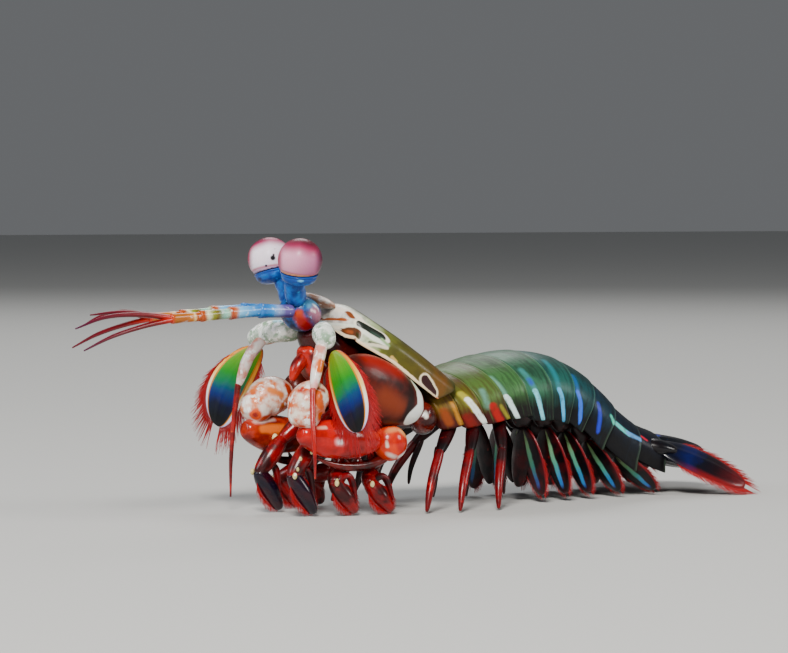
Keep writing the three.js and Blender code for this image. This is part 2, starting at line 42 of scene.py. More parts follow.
# Pose coordinates are millimetres; this shift puts them in the part's own frame.
shift = Vector((-3.52, -0.73, 0.0))
target = (0.0, 0.0, 33.0)


def mm(point):
    return (Vector(point) + shift) / 1000


def mix(a, b, t):
    return a + (b - a) * t


def along(values, t):
    spot = min(max(t, 0), 1) * (len(values) - 1)
    first = min(int(spot), len(values) - 2)
    return mix(values[first], values[first + 1], spot - first)


flanks = (("left", -1), ("right", 1))


def flipped(point, sign):
    return (point[0], point[1] * sign, point[2])


# Camera: the photograph's viewing angle
view = {"azimuth": -38, "elevation": 2, "distance": 0.6, "lens": 150.6}


def setCamera():
    az, el = math.radians(view["azimuth"]), math.radians(view["elevation"])
    back = Vector((math.sin(az) * math.cos(el), -math.cos(az) * math.cos(el), math.sin(el)))
    data = bpy.data.cameras.new("camera")
    data.lens = view["lens"]
    data.sensor_width = 36
    data.clip_start, data.clip_end = 0.01, 20
    camera = bpy.data.objects.new("camera", data)
    camera.location = mm(target) + back * view["distance"]
    camera.rotation_euler = back.to_track_quat("Z", "Y").to_euler()
    bpy.context.collection.objects.link(camera)
    bpy.context.scene.camera = camera


setCamera()
print("camera set")


# A smooth line through a few points, in millimetres
def track(points, count=36):
    stops = [Vector(p) for p in points]
    stops = [stops[0] * 2 - stops[1]] + stops + [stops[-1] * 2 - stops[-2]]
    line = []
    for i in range(count + 1):
        spot = (len(points) - 1) * i / count
        k = min(int(spot), len(points) - 2)
        w = spot - k
        p0, p1, p2, p3 = stops[k:k + 4]
        d0, d1, d2 = [max((b - a).length ** 0.5, 1e-4) for a, b in ((p0, p1), (p1, p2), (p2, p3))]
        start = ((p1 - p0) / d0 - (p2 - p0) / (d0 + d1) + (p2 - p1) / d1) * d1
        stop = ((p2 - p1) / d1 - (p3 - p1) / (d1 + d2) + (p3 - p2) / d2) * d1
        line.append(p1 + start * w + (p2 * 3 - p1 * 3 - start * 2 - stop) * w ** 2
                    + (p1 * 2 - p2 * 2 + start + stop) * w ** 3)
    return line


def selectOnly(*pieces):
    bpy.ops.object.select_all(action="DESELECT")
    for piece in pieces:
        piece.select_set(True)
    bpy.context.view_layer.objects.active = pieces[0]


def facedOut(piece):
    selectOnly(piece)
    bpy.ops.object.mode_set(mode="EDIT")
    bpy.ops.mesh.select_all(action="SELECT")
    bpy.ops.mesh.normals_make_consistent(inside=False)
    bpy.ops.object.mode_set(mode="OBJECT")


def applied(piece, modifier):
    selectOnly(piece)
    bpy.ops.object.modifier_apply(modifier=modifier.name)


# Notes where each point lies along (0 to 1), across and above the piece, before it is bent
def noteFlat(piece, low, high, halfY, halfZ):
    flat = piece.data.attributes.new("flat", "FLOAT_VECTOR", "POINT")
    for v, spot in zip(piece.data.vertices, flat.data):
        spot.vector = ((v.co.x - low) / (high - low), v.co.y / halfY, v.co.z / halfZ)


# A ring of points extruded through its stations along X: x, half width, half height and lift, in metres
def extruded(name, stations, sides=16, outline=None):
    bpy.ops.object.select_all(action="DESELECT")
    bpy.ops.mesh.primitive_circle_add(vertices=sides, radius=1, fill_type="NGON",
                                      rotation=(0, math.pi / 2, 0))
    piece = bpy.context.object
    piece.name = piece.data.name = name
    bpy.ops.object.transform_apply(location=True, rotation=True, scale=True)
    if outline:
        turns = piece.data.attributes.new("turn", "FLOAT", "POINT").data
        for v, turn in zip(piece.data.vertices, turns):
            v.co.y, v.co.z, turn.value = outline(math.atan2(v.co.z, v.co.y))
    bpy.ops.object.mode_set(mode="EDIT")
    bpy.ops.mesh.select_all(action="SELECT")
    x, wide, tall, lift = stations[0]
    bpy.ops.transform.resize(value=(1, wide, tall), center_override=(0, 0, 0))
    bpy.ops.transform.translate(value=(x, 0, lift))
    for nextX, nextWide, nextTall, nextLift in stations[1:]:
        step = (nextX - x, 0, nextLift - lift)
        bpy.ops.mesh.extrude_region_move(TRANSFORM_OT_translate={"value": step})
        bpy.ops.transform.resize(value=(1, nextWide / wide, nextTall / tall),
                                 center_override=(nextX, 0, nextLift))
        x, wide, tall, lift = nextX, nextWide, nextTall, nextLift
    bpy.ops.object.mode_set(mode="OBJECT")
    facedOut(piece)
    reach, halfY, halfZ = [max(station[k] for station in stations) for k in range(3)]
    noteFlat(piece, stations[0][0], reach, halfY, halfZ)
    return piece


# Bends a straight piece along a line of points in metres
def bent(piece, line, stretch=True, upright=True):
    path = bpy.data.curves.new("path", "CURVE")
    path.dimensions = "3D"
    path.twist_mode = "Z_UP" if upright else "MINIMUM"
    path.use_stretch = path.use_deform_bounds = stretch
    spline = path.splines.new("POLY")
    spline.points.add(len(line) - 1)
    for point, place in zip(spline.points, line):
        point.co = (*place, 1)
    guide = bpy.data.objects.new("path", path)
    bpy.context.collection.objects.link(guide)
    modifier = piece.modifiers.new("Bend", "CURVE")
    modifier.object = guide
    modifier.deform_axis = "POS_X"
    applied(piece, modifier)
    bpy.data.objects.remove(guide)
    return piece


def smoothed(piece, levels=1):
    if levels:
        modifier = piece.modifiers.new("Smooth", "SUBSURF")
        modifier.levels = modifier.render_levels = levels
        applied(piece, modifier)
    selectOnly(piece)
    bpy.ops.object.shade_smooth()
    return piece


def joinedUp(name, pieces):
    selectOnly(*pieces)
    if len(pieces) > 1:
        bpy.ops.object.join()
    piece = bpy.context.object
    piece.name = piece.data.name = name
    return piece


def coated(piece, look):
    piece.data.materials.clear()
    piece.data.materials.append(look)
    return piece


def onBothSides(make):
    for side, sign in flanks:
        make(side, sign)


# Hands a piece over for its node, with whatever would reach below the floor flattened onto it
def handOver(pieces, node):
    piece = joinedUp(node + "_form", pieces if isinstance(pieces, list) else [pieces])
    sole = 0.0003  # metres
    for v in piece.data.vertices:
        if v.co.z < sole:
            v.co.z = sole * math.exp((v.co.z - sole) / sole)
    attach(piece, "root")
    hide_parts(node)
    return piece


limbStops = (0.004, 0.02, 0.05, 0.1, 0.17, 0.26, 0.36, 0.47, 0.58, 0.68, 0.77, 0.85, 0.91, 0.955, 0.982,
             0.996)


# A rounded limb along a line: halves are its half widths across and up, past runs it beyond its ends
def limb(name, points, halves, look, sides=14, bluntness=0.45, past=0.0, upright=True, swell=None, levels=1):
    points = [Vector(p) for p in points]
    first = (points[0] - points[1]).normalized() * past
    last = (points[-1] - points[-2]).normalized() * past
    points[0], points[-1] = points[0] + first, points[-1] + last
    stations = []
    for t in limbStops:
        full = math.sqrt(max(1 - (2 * t - 1) ** 2, 0)) ** bluntness
        if swell:
            full *= swell(t)
        wide = full * along([h[0] for h in halves], t) / 1000
        tall = full * along([h[1] for h in halves], t) / 1000
        stations.append((t * 0.01, wide, tall, 0))
    piece = extruded(name, stations, sides)
    bent(piece, [mm(p) for p in track(points, 24)], upright=upright)
    return smoothed(coated(piece, look), levels)


# A crease round a limb, as a share of its width
def crease(at, deep, half):
    return lambda t: 1 - deep * math.exp(-((t - at) / half) ** 2)


# A thin blade from root to tip, its face looking along facing
def bladeShape(root, tip, halfWidth, halfThickness, facing, bow=(0, 0, 0), belly=0.5):
    root, tip = Vector(root), Vector(tip)
    length = (tip - root).length
    lengthwise = (tip - root).normalized()
    across = Vector(facing).cross(lengthwise).normalized()
    normal = lengthwise.cross(across)
    return {"root": root, "length": length, "halfWidth": halfWidth, "halfThickness": halfThickness,
            "axes": (lengthwise, across, normal), "bow": Vector(bow), "belly": belly}


def widest(shape, t):
    return (4 * t * (1 - t)) ** 0.5 * (1 + (shape["belly"] - 0.5) * 2 * (t - 0.5))


def onBlade(shape, t, u, w):
    lengthwise, across, normal = shape["axes"]
    return (shape["root"] + lengthwise * shape["length"] * t + shape["bow"] * 4 * t * (1 - t)
            + across * u + normal * w)


bladeStops = (0.006, 0.03, 0.07, 0.13, 0.2, 0.29, 0.38, 0.47, 0.56, 0.65, 0.73, 0.81, 0.88, 0.93, 0.97, 0.994)


def blade(name, shape, look, sides=24, ribs=(), rise=0.25, levels=1):
    stations = []
    for t in bladeStops:
        ring = math.sqrt(max(1 - (2 * t - 1) ** 2, 1e-6))
        stations.append((t, shape["halfWidth"] * widest(shape, t), shape["halfThickness"] * ring ** 0.3, 0))
    piece = extruded(name, stations, sides)
    flat = piece.data.attributes["flat"].data
    for v, note in zip(piece.data.vertices, flat):
        t = v.co.x
        reach = max(shape["halfWidth"] * widest(shape, t), 1e-3)
        share = v.co.y / reach
        note.vector = (t, share, 1 if v.co.z > 0 else -1)
        bulge = sum(rise * math.exp(-((share - rib) / 0.09) ** 2) for rib in ribs)
        bulge *= math.sin(math.pi * t) ** 0.5
        lift = math.copysign(bulge, v.co.z) if abs(v.co.z) > 0.02 else 0
        v.co = mm(onBlade(shape, t, v.co.y, v.co.z + lift))
    return smoothed(coated(piece, look), levels)


# Tapered bristles set along a blade's margin, in one mesh
def bristles(name, shape, look, count, length, tipLength, start=0.3, width=0.16, ripple=0.12, droop=0.0):
    points, faces, notes = [], [], []
    for i in range(count):
        turn = mix(-1, 1, (i + draw.uniform(-0.3, 0.3)) / (count - 1))
        turn = max(-1, min(1, turn))
        t = min(mix(1, start, abs(turn) ** 1.25), 0.99)
        side = 1 if turn >= 0 else -1
        edge = onBlade(shape, mix(t, 0.5, 0.03), side * shape["halfWidth"] * widest(shape, t) * 0.95, 0)
        outward = (onBlade(shape, 1.35, side * abs(turn) ** 0.6 * 0.8 * shape["length"], 0)
                   - onBlade(shape, 0.35, 0, 0)).normalized()
        reach = mix(tipLength, length, abs(turn)) * (1 + ripple * draw.uniform(-1, 1)) + 0.5
        normal = shape["axes"][2]
        across = normal.cross(outward).normalized()
        bend = across * draw.uniform(-0.1, 0.1) + normal * draw.uniform(-0.08, 0.08) + Vector((0, 0, -droop))
        first = len(points)
        for part in (0, 0.35, 0.7, 1):
            centre = edge + outward * (part * reach - 0.5) + bend * reach * part ** 2
            size = width * (1 - 0.86 * part)
            for a, b in ((1, 0), (0, 0.6), (-1, 0), (0, -0.6)):
                points.append(mm(centre + across * a * size + normal * b * size))
                notes.append((part, i / count, abs(turn)))
        for ring in range(3):
            for k in range(4):
                a, b = first + ring * 4 + k, first + ring * 4 + (k + 1) % 4
                faces.append((a, b, b + 4, a + 4))
        faces.append(tuple(first + k for k in (3, 2, 1, 0)))
        faces.append(tuple(first + 12 + k for k in range(4)))
    mesh = bpy.data.meshes.new(name)
    mesh.from_pydata(points, [], faces)
    flat = mesh.attributes.new("flat", "FLOAT_VECTOR", "POINT")
    for note, spot in zip(notes, flat.data):
        spot.vector = note
    piece = bpy.data.objects.new(name, mesh)
    bpy.context.collection.objects.link(piece)
    facedOut(piece)
    return smoothed(coated(piece, look), 0)


# Half widths of a limb that is as wide as it is tall
def evenly(*halves):
    return [(half, half) for half in halves]


def middle(a, b):
    return Vector(a).lerp(Vector(b), 0.5)


# A small spine or tooth
def spine(name, base, tip, thick, look, sides=8):
    return limb(name, [base, middle(base, tip), tip], evenly(thick, thick * 0.75, thick * 0.2), look,
                sides=sides,
                bluntness=0.3, upright=False, levels=0)


# A ringed whip along a line of points, drawn in at every other ring
def ringedWhip(points, halves, look, count, drawnIn, upright=True):
    stations = []
    for i in range(count + 1):
        half = along(halves, i / count) * (1 if i % 2 else drawnIn) / 1000
        stations.append((i / count * 0.02, half, half, 0))
    whip = bent(extruded("whip", stations, 10), [mm(p) for p in track(points, 24)], upright=upright)
    return smoothed(coated(whip, look), 0)


print("tools ready")


# Materials
def colour(code, alpha=1.0):
    parts = [int(code[i:i + 2], 16) / 255 for i in (0, 2, 4)]
    return (*[p / 12.92 if p <= 0.04045 else ((p + 0.055) / 1.055) ** 2.4 for p in parts], alpha)


class Look:
    def __init__(self, name, roughness=0.3, coat=0.3, coatRoughness=0.12, soft=0.0, softReach=0.001,
                 shine=0.25):
        self.material = bpy.data.materials.new(name)
        self.material.use_nodes = True
        self.tree = self.material.node_tree
        self.shader = self.tree.nodes["Principled BSDF"]
        self.shader.inputs["Roughness"].default_value = roughness
        self.shader.inputs["Coat Weight"].default_value = coat
        self.shader.inputs["Coat Roughness"].default_value = coatRoughness
        self.shader.inputs["Specular IOR Level"].default_value = shine
        self.shader.inputs["Subsurface Weight"].default_value = soft
        self.shader.inputs["Subsurface Scale"].default_value = softReach

    def put(self, socket, value):
        if isinstance(value, bpy.types.NodeSocket):
            self.tree.links.new(value, socket)
        else:
            socket.default_value = value

    def add(self, kind, inputs=(), out=0, **settings):
        node = self.tree.nodes.new("ShaderNode" + kind)
        for key, value in settings.items():
            setattr(node, key, value)
        for key, value in dict(inputs).items():
            self.put(node.inputs[key], value)
        return node.outputs[out]

    def place(self):
        return self.add("TexCoord", out="Object")

    def flat(self):
        return self.add("Attribute", attribute_name="flat", out="Vector")

    def split(self, vector):
        node = self.tree.nodes.new("ShaderNodeSeparateXYZ")
        self.put(node.inputs[0], vector)
        return node.outputs

    def sum(self, kind, a, b=0.5, c=0.5):
        return self.add("Math", {0: a, 1: b, 2: c}, operation=kind)

    def times(self, a, b):
        return self.sum("MULTIPLY", a, b)

    def plus(self, a, b):
        return self.sum("ADD", a, b)

    def minus(self, a, b):
        return self.sum("SUBTRACT", a, b)

    def step(self, value, low, high, start=0.0, stop=1.0):
        return self.add("MapRange", {"Value": value, "From Min": low, "From Max": high, "To Min": start,
                                     "To Max": stop}, interpolation_type="SMOOTHSTEP")

    def band(self, value, low, high, soft):
        return self.times(self.step(value, low - soft, low + soft),
                        self.step(value, high - soft, high + soft, 1.0, 0.0))

    def noise(self, vector, scale, detail=3.0, stretch=None, roughness=0.55, out=0):
        if stretch:
            vector = self.add("Mapping", {"Vector": vector, "Scale": stretch})
        return self.add("TexNoise", {"Vector": vector, "Scale": scale, "Detail": detail,
                                     "Roughness": roughness},
                        out=out)

    # A soft wandering number around zero
    def drift(self, vector, scale, amount):
        return self.times(self.minus(self.noise(vector, scale), 0.5), amount)

    def cells(self, vector, scale, randomness=1.0):
        return self.add("TexVoronoi", {"Vector": vector, "Scale": scale, "Randomness": randomness})

    # Pose coordinates in millimetres with both sides folded onto the positive one
    def folded(self):
        spot = self.add("VectorMath", {0: self.place(), 1: (1000, 1000, 1000)}, operation="MULTIPLY")
        spot = self.add("VectorMath", {0: spot, 1: shift}, operation="SUBTRACT")
        x, y, z = self.split(spot)
        return self.add("CombineXYZ", {0: x, 1: self.sum("ABSOLUTE", y), 2: z})

    # A sheet of the surface laid flat: millimetres along and down it
    def sheet(self, length, girth):
        x, y, z = self.split(self.flat())
        return self.add("CombineXYZ", {0: self.times(x, length), 1: self.times(z, girth), 2: 0.0})

    # A painted stroke through a few points of a sheet or of space
    def stroke(self, sheet, points, half, soft=0.12):
        reach = None
        points = [Vector((*p, 0)) if len(p) == 2 else Vector(p) for p in points]
        for a, b in zip(points, points[1:] or points):
            way = b - a
            offset = self.add("VectorMath", {0: sheet, 1: a}, operation="SUBTRACT")
            if way.length > 1e-4:
                share = self.add("VectorMath", {0: offset, 1: way / way.length_squared},
                                 operation="DOT_PRODUCT",
                                 out="Value")
                near = self.add("VectorMath", {0: way, "Scale": self.add("Clamp", {0: share})},
                                operation="SCALE")
                offset = self.add("VectorMath", {0: offset, 1: near}, operation="SUBTRACT")
            gap = self.add("VectorMath", {0: offset}, operation="LENGTH", out="Value")
            reach = gap if reach is None else self.sum("MINIMUM", reach, gap)
        return self.step(reach, half - soft, half + soft, 1.0, 0.0)

    # Paints strokes over a tint, thinned out where ragged is below 1
    def paint(self, tint, sheet, marks, ragged=1.0):
        for shade, half, soft, *points in marks:
            tint = self.blend(self.times(self.stroke(sheet, points, half, soft), ragged), tint, shade)
        return tint

    def ramp(self, value, stops):
        node = self.tree.nodes.new("ShaderNodeValToRGB")
        steps = node.color_ramp.elements
        while len(steps) < len(stops):
            steps.new(1.0)
        for step, (place, tint) in zip(steps, stops):
            step.position = place
            step.color = colour(tint)
        self.put(node.inputs[0], value)
        return node.outputs[0]

    def blend(self, amount, under, over):
        tints = [colour(c) if isinstance(c, str) else c for c in (under, over)]
        return self.add("Mix", {0: amount, 6: tints[0], 7: tints[1]}, data_type="RGBA", out=2)

    def bump(self, height, strength=0.3, distance=0.0003, under=None):
        inputs = {"Height": height, "Strength": strength, "Distance": distance}
        if under is not None:
            inputs["Normal"] = under
        return self.add("Bump", inputs)

    def done(self, tint, normal=None, roughness=None):
        self.put(self.shader.inputs["Base Color"], colour(tint) if isinstance(tint, str) else tint)
        if normal is not None:
            self.put(self.shader.inputs["Normal"], normal)
        if roughness is not None:
            self.put(self.shader.inputs["Roughness"], roughness)
        return self.material


def warped(look, vector, scale=300.0, amount=0.0006):
    drift = look.add("VectorMath", {0: look.noise(vector, scale, out=1), 1: (0.5, 0.5, 0.5)},
                     operation="SUBTRACT")
    drift = look.add("VectorMath", {0: drift, "Scale": amount}, operation="SCALE")
    return look.add("VectorMath", {0: vector, 1: drift}, operation="ADD")


# Marks given as shares of a length and girth, in millimetres
def spread(marks, length, girth):
    return [(shade, half, soft, *[(a * length, b * girth) for a, b in points])
            for shade, half, soft, *points in marks]


# A glossy skin of three tints, cloudy and finely grained. Its marks are tint, half width, softness and the
# points of a stroke, in pose millimetres with both sides folded onto the positive one
def skin(name, main, dark, pale, roughness=0.3, coat=0.3, patch=180.0, speckle=700.0, paleFrom=0.66, marks=(),
         grain=0.25, soft=0.03, wander=0.5):
    look = Look(name, roughness, coat, soft=soft)
    place = look.place()
    cloudy = look.noise(place, patch, 4)
    tint = look.blend(look.step(cloudy, 0.4, 0.62), main, dark)
    grains = look.noise(place, speckle, 2)
    tint = look.blend(look.step(grains, paleFrom, paleFrom + 0.08), tint, pale)
    if marks:
        tint = look.paint(tint, warped(look, look.folded(), 0.6, wander), marks)
    pits = look.cells(place, speckle * 1.6)
    return look.done(tint, look.bump(look.plus(pits, grains), grain, 0.00012),
                     look.step(cloudy, 0.3, 0.7, roughness * 0.75, roughness * 1.3))


corneaRadius = 0.0039  # metres
acrossEye = (0.79, -0.61)  # x and y of the way that a cornea's tints change along


# Cornea: lilac pink, whiter on the far eye, with a crimson cap, painted shade darkening its right side and a
# pinkish line round its flat base
def corneaLook(name, centre, lean, tones, spots, line):
    look = Look(name, 0.42, 0.1, 0.15, soft=0.1, softReach=0.002, shine=0.25)
    place = look.place()
    x, y, z = look.split(look.add("VectorMath", {0: place, 1: mm(centre)}, operation="SUBTRACT"))
    rise = look.plus(look.sum("DIVIDE", z, corneaRadius),
                     look.times(look.sum("DIVIDE", y, corneaRadius), lean[1]))
    right = look.plus(look.times(x, acrossEye[0] / corneaRadius), look.times(y, acrossEye[1] / corneaRadius))
    # Painted shade: the tint darkens from the left tone to the right one, across the eye as the camera sees it
    tint = look.blend(look.step(look.minus(right, look.times(rise, 0.3)), -1.0, 1.0),
                      tones["left"], tones["right"])
    shaded = look.plus(rise, look.times(look.sum("ABSOLUTE", right), 0.2))
    tint = look.blend(look.step(shaded, 0.36, 0.86), tint, tones["top"])
    tint = look.blend(look.step(shaded, 0.72, 1.04), tint, tones["rim"])
    # Painted shade: a dark edge on the eye's right side as the camera sees it
    tint = look.blend(look.step(right, 0.6, 1.0), tint, tones["edge"])
    tint = look.blend(look.step(right, -0.7, -1.0), tint, "9c0c40")
    tint = look.blend(look.step(rise, -0.4, -0.52), tint, "bc6478")
    tint = look.blend(look.step(rise, -0.48, -0.56), tint, line)
    cells = look.cells(place, 5200.0, randomness=0.35)
    tint = look.blend(look.times(look.step(cells, 0.35, 0.6), 0.1), tint, "8a5068")
    for spotAt, half, spotTint in spots:
        near = look.add("VectorMath", {0: place, 1: mm(spotAt)}, operation="DISTANCE", out="Value")
        tint = look.blend(look.step(near, half * 0.0006, half * 0.0012, 1.0, 0.0), tint, spotTint)
    return look.done(tint, look.bump(cells, 0.1, 0.00006))


looks = {
    "maroon": skin("maroon limb", "2c0205", "0c0103", "5c0808", 0.36, 0.15, 320.0, 600.0),
    "crimson": skin("crimson limb", "74030a", "240205", "b01818", 0.34, 0.2, 260.0, 600.0),
    "mouthRed": skin("orange red mouth", "b41806", "5a0206", "e2501c", 0.3, 0.35, 350.0),
    "chest": skin("dark chest", "3a0604", "120203", "5c120a", 0.35, 0.25, 200.0),
}
print("base materials made")


ringGirth = 20  # millimetres from a ring's ridge to the edge of its flap
flapSweep = 0.0014  # how far the flaps reach back, in metres


# Shell of a body ring: tinted from its ridge down to dark flaps in partly painted shade, with a faint hind rim
# and painted flank bars
def ringLook(name, length, top, middle, low, under, marks):
    look = Look(name, 0.45, 0.06, 0.25, soft=0.03, shine=0.25)
    place = look.place()
    s, _, girth = look.split(look.flat())
    drift = look.drift(place, 420.0, 0.1)
    # Darker down the flank to near-black flaps: partly their own colour, partly painted shade near the floor
    tint = look.ramp(look.plus(girth, drift), [
        (0.0, top), (0.3, top), (0.55, middle), (0.72, middle), (0.88, low), (1.0, low)])
    cloudy = look.noise(place, 160.0, 5)
    tint = look.blend(look.times(look.step(cloudy, 0.45, 0.66), 0.45), tint, low)
    streaks = look.noise(warped(look, look.flat(), 3.0, 0.3), 1.0, 4,
                         stretch=(4.0 + length * 0.6, 0.6, length * 0.4))
    tint = look.blend(look.times(look.step(streaks, 0.52, 0.68), 0.45), tint, middle)
    tint = look.blend(look.times(look.step(streaks, 0.5, 0.36), 0.4), tint, low)
    fine = look.noise(place, 1000.0, 2)
    edge = look.plus(s, look.times(drift, 0.3))
    tint = look.blend(look.times(look.band(edge, 0.84, 0.9, 0.03), 0.3), tint, under)
    tint = look.blend(look.times(look.band(edge, 0.93, 1.2, 0.03), 0.1), tint, "8cb48c")
    sheet = warped(look, look.sheet(length, ringGirth), 0.8, 0.35)
    ragged = look.step(look.noise(place, 700.0, 3), 0.3, 0.5, 0.62, 1.0)
    tint = look.paint(tint, sheet, spread(marks, length, ringGirth), ragged)
    tint = look.blend(look.step(girth, 1.0, 1.03), tint, under)
    pits = look.cells(place, 1300.0)
    height = look.plus(look.times(pits, 0.5), look.plus(fine, streaks))
    return look.done(tint, look.bump(height, 0.3, 0.00014), look.step(cloudy, 0.3, 0.7, 0.4, 0.56))


# The cross-section of a body ring, an arch whose flaps hang past the belly, and how far round it each point
# is: 0 on the ridge, 0.8 where the flap begins, 1 at its edge and more below
def arch(angle):
    y, below = math.cos(angle), -angle if angle > -math.pi / 2 else math.pi + angle
    if angle >= 0 or below <= 0:
        return y, -0.62 + 0.62 * math.sin(angle), 0.8 * abs(angle - math.pi / 2) / (math.pi / 2)
    side = math.copysign(1, y)
    if below < 0.38:
        return side * mix(1, 0.97, below / 0.38), mix(-0.62, -1, below / 0.38), mix(0.8, 1, below / 0.38)
    if below < 0.75:
        return side * mix(0.95, 0.8, (below - 0.38) / 0.37), mix(-0.99, -0.78, (below - 0.38) / 0.37), 1.05
    return side * mix(0.8, 0, (below - 0.75) / 0.82), mix(-0.78, -0.72, (below - 0.75) / 0.82), 1.1


backLine = [mm((x, 0, z)) for x, y, z in track(
    [
        (1, 0, 23), (6, 0, 23.9), (13, 0, 25.8), (20, 0, 27.4), (27, 0, 28.1), (34, 0, 27.2), (39.6, 0, 24.8),
        (44.6, 0, 21.2), (49, 0, 17.4), (54, 0, 14.2), (60, 0, 12), (67, 0, 10.4)], 88)]


def backPlace(s, y, depth):
    s = s / 1000
    for a, b in zip(backLine, backLine[1:]):
        step = (b - a).length
        if s <= step:
            break
        s -= step
    way = (b - a).normalized()
    spot = a + way * s + Vector((way.z, 0, -way.x)) * depth / 1000
    return spot * 1000 - shift + Vector((0, y, 0))


rings = {
    "thorax_5": (4.4, 10.4, 9.5), "thorax_6": (4.2, 11.2, 10.5), "thorax_7": (5.4, 11.8, 11.2),
    "thorax_8": (5.8, 12.3, 11.8), "abdomen_1": (7.2, 12.7, 13.2), "abdomen_2": (7.4, 12.9, 13.4),
    "abdomen_3": (7.4, 12.9, 13.2), "abdomen_4": (7.4, 12.6, 12.4), "abdomen_5": (7.2, 12.0, 11.0),
    "abdomen_6": (6.4, 10.8, 8.6),
}
ringProfile = [
    (-0.02, 0.925), (0.03, 0.95), (0.1, 0.962), (0.25, 0.975), (0.42, 0.985), (0.6, 0.992), (0.76, 0.996),
    (0.86, 0.997), (0.9, 0.994), (0.925, 0.995), (0.95, 1.002), (0.985, 1.002), (0.998, 0.99),
    (1.0, 0.965)]
# For each ring the tints of its ridge, flank, flaps and belly, then its marks: tint, half width, softness and
# places as shares of its length and girth
ringTints = {
    "thorax_5": ("3c420e", "6c5410", "400804", "1c0203", [
        ("8a3c0c", 0.9, 0.5, (0.3, 0.75), (0.4, 0.9)), ("b87c14", 0.36, 0.3, (0.8, 0.66), (0.86, 0.95))]),
    "thorax_6": ("444c14", "5c5a18", "4a0603", "1c0203", [
        ("a8a034", 0.7, 0.4, (0.4, 0.54), (0.62, 0.8)),
        ("eef4ea", 0.6, 0.2, (0.5, 0.64), (0.66, 0.82), (0.9, 1.0)),
        ("7a1004", 0.8, 0.5, (0.2, 0.86), (0.3, 1.0))]),
    "thorax_7": ("425a24", "4e6c30", "3a0403", "180203", [
        ("5c8c78", 0.6, 0.5, (0.3, 0.58), (0.2, 0.8)), ("a80a04", 0.9, 0.4, (0.42, 0.82), (0.52, 0.96)),
        ("8c8420", 0.4, 0.3, (0.76, 0.84), (0.9, 1.0))]),
    "thorax_8": ("365a30", "406e3c", "0c0605", "080203", [
        ("5c947c", 0.5, 0.5, (0.0, 0.45), (0.06, 0.7)), ("daf4f2", 0.55, 0.2, (0.08, 0.74), (0.3, 1.0))]),
    "abdomen_1": ("28563a", "2e6448", "04060a", "050205", [
        ("347c78", 0.6, 0.5, (0.22, 0.45), (0.28, 0.7)), ("2050a8", 0.5, 0.5, (0.24, 0.58), (0.25, 0.62)),
        ("7cd8e8", 0.62, 0.22, (0.28, 0.72), (0.42, 1.0))]),
    "abdomen_2": ("184840", "1c544c", "020508", "040205", [
        ("167078", 0.6, 0.5, (0.3, 0.34), (0.27, 0.7)), ("4aaede", 0.6, 0.22, (0.28, 0.72), (0.56, 0.97))]),
    "abdomen_3": ("123834", "144448", "010308", "040205", [
        ("1a5890", 0.55, 0.5, (0.1, 0.5), (0.16, 0.68)), ("2c68dc", 0.58, 0.25, (0.16, 0.7), (0.6, 0.92))]),
    "abdomen_4": ("0b2228", "0c2a38", "010206", "040205", [
        ("2434b8", 0.5, 0.3, (0.2, 0.68), (0.56, 0.9)), ("44c4a8", 0.5, 0.3, (0.8, 0.68), (0.96, 0.72))]),
    "abdomen_5": ("07141e", "081626", "010105", "040205", [
        ("54c8c0", 0.65, 0.3, (0.0, 0.72), (0.5, 0.7)), ("5c9cd8", 0.55, 0.3, (0.5, 0.7), (0.95, 0.64))]),
    "abdomen_6": ("050b16", "060b1c", "020104", "060205", [
        ("c01030", 0.4, 0.25, (0.1, 0.62), (0.25, 0.64)), ("1434b8", 0.5, 0.35, (0.6, 0.72), (0.7, 0.74))]),
}


# Notes how far along the piece, across it and round its arch each point lies
def noteGirth(piece, length, halfWidths, start):
    flat = piece.data.attributes["flat"].data
    turns = piece.data.attributes["turn"].data
    for v, note, turn in zip(piece.data.vertices, flat, turns):
        s = (v.co.x * 1000 - start) / length
        note.vector = (s, v.co.y * 1000 / along(halfWidths, s), turn.value)


def bodyRing(name, start, length, halfWidth, depth):
    stations = []
    for t, size in ringProfile:
        stations.append(((start + t * (length - 0.1)) / 1000, size * halfWidth / 1000, size * depth / 1000,
                         -(1 - size) * 4 / 1000))
    piece = extruded(name, stations, 72, arch)
    noteGirth(piece, length, (halfWidth, halfWidth), start)
    for v in piece.data.vertices:
        share = max(-v.co.z / (depth / 1000), 0)
        v.co.x += flapSweep * share ** 3
    look = ringLook(name + " shell", length, *ringTints[name])
    bent(piece, backLine, stretch=False)
    smoothed(coated(piece, look))
    return handOver(piece, name)


reached = 0
ringStart = {}
for ringName, (ringLength, ringWidth, ringDepth) in rings.items():
    ringStart[ringName] = reached
    bodyRing(ringName, reached, ringLength, ringWidth, ringDepth)
    reached += ringLength
print("body rings made")


# Carapace: a smooth arched shield with painted spots and a pale margin line
shield = {
    "line": [(-15.9, 37.4), (-12.4, 37.3), (-7.8, 34.8), (0, 29.8), (8, 24.2)],
    "halfWidth": (5.8, 8.2, 10, 11.2, 11.4), "depth": (6.1, 7.2, 7, 7.5, 7.3), "cornerForward": 3.2,
    "girth": 14.5,
}
shieldLine = [mm((x, 0, z)) for x, y, z in track([(x, 0, z) for x, z in shield["line"]], 60)]
shieldLength = sum((b - a).length for a, b in zip(shieldLine, shieldLine[1:])) * 1000

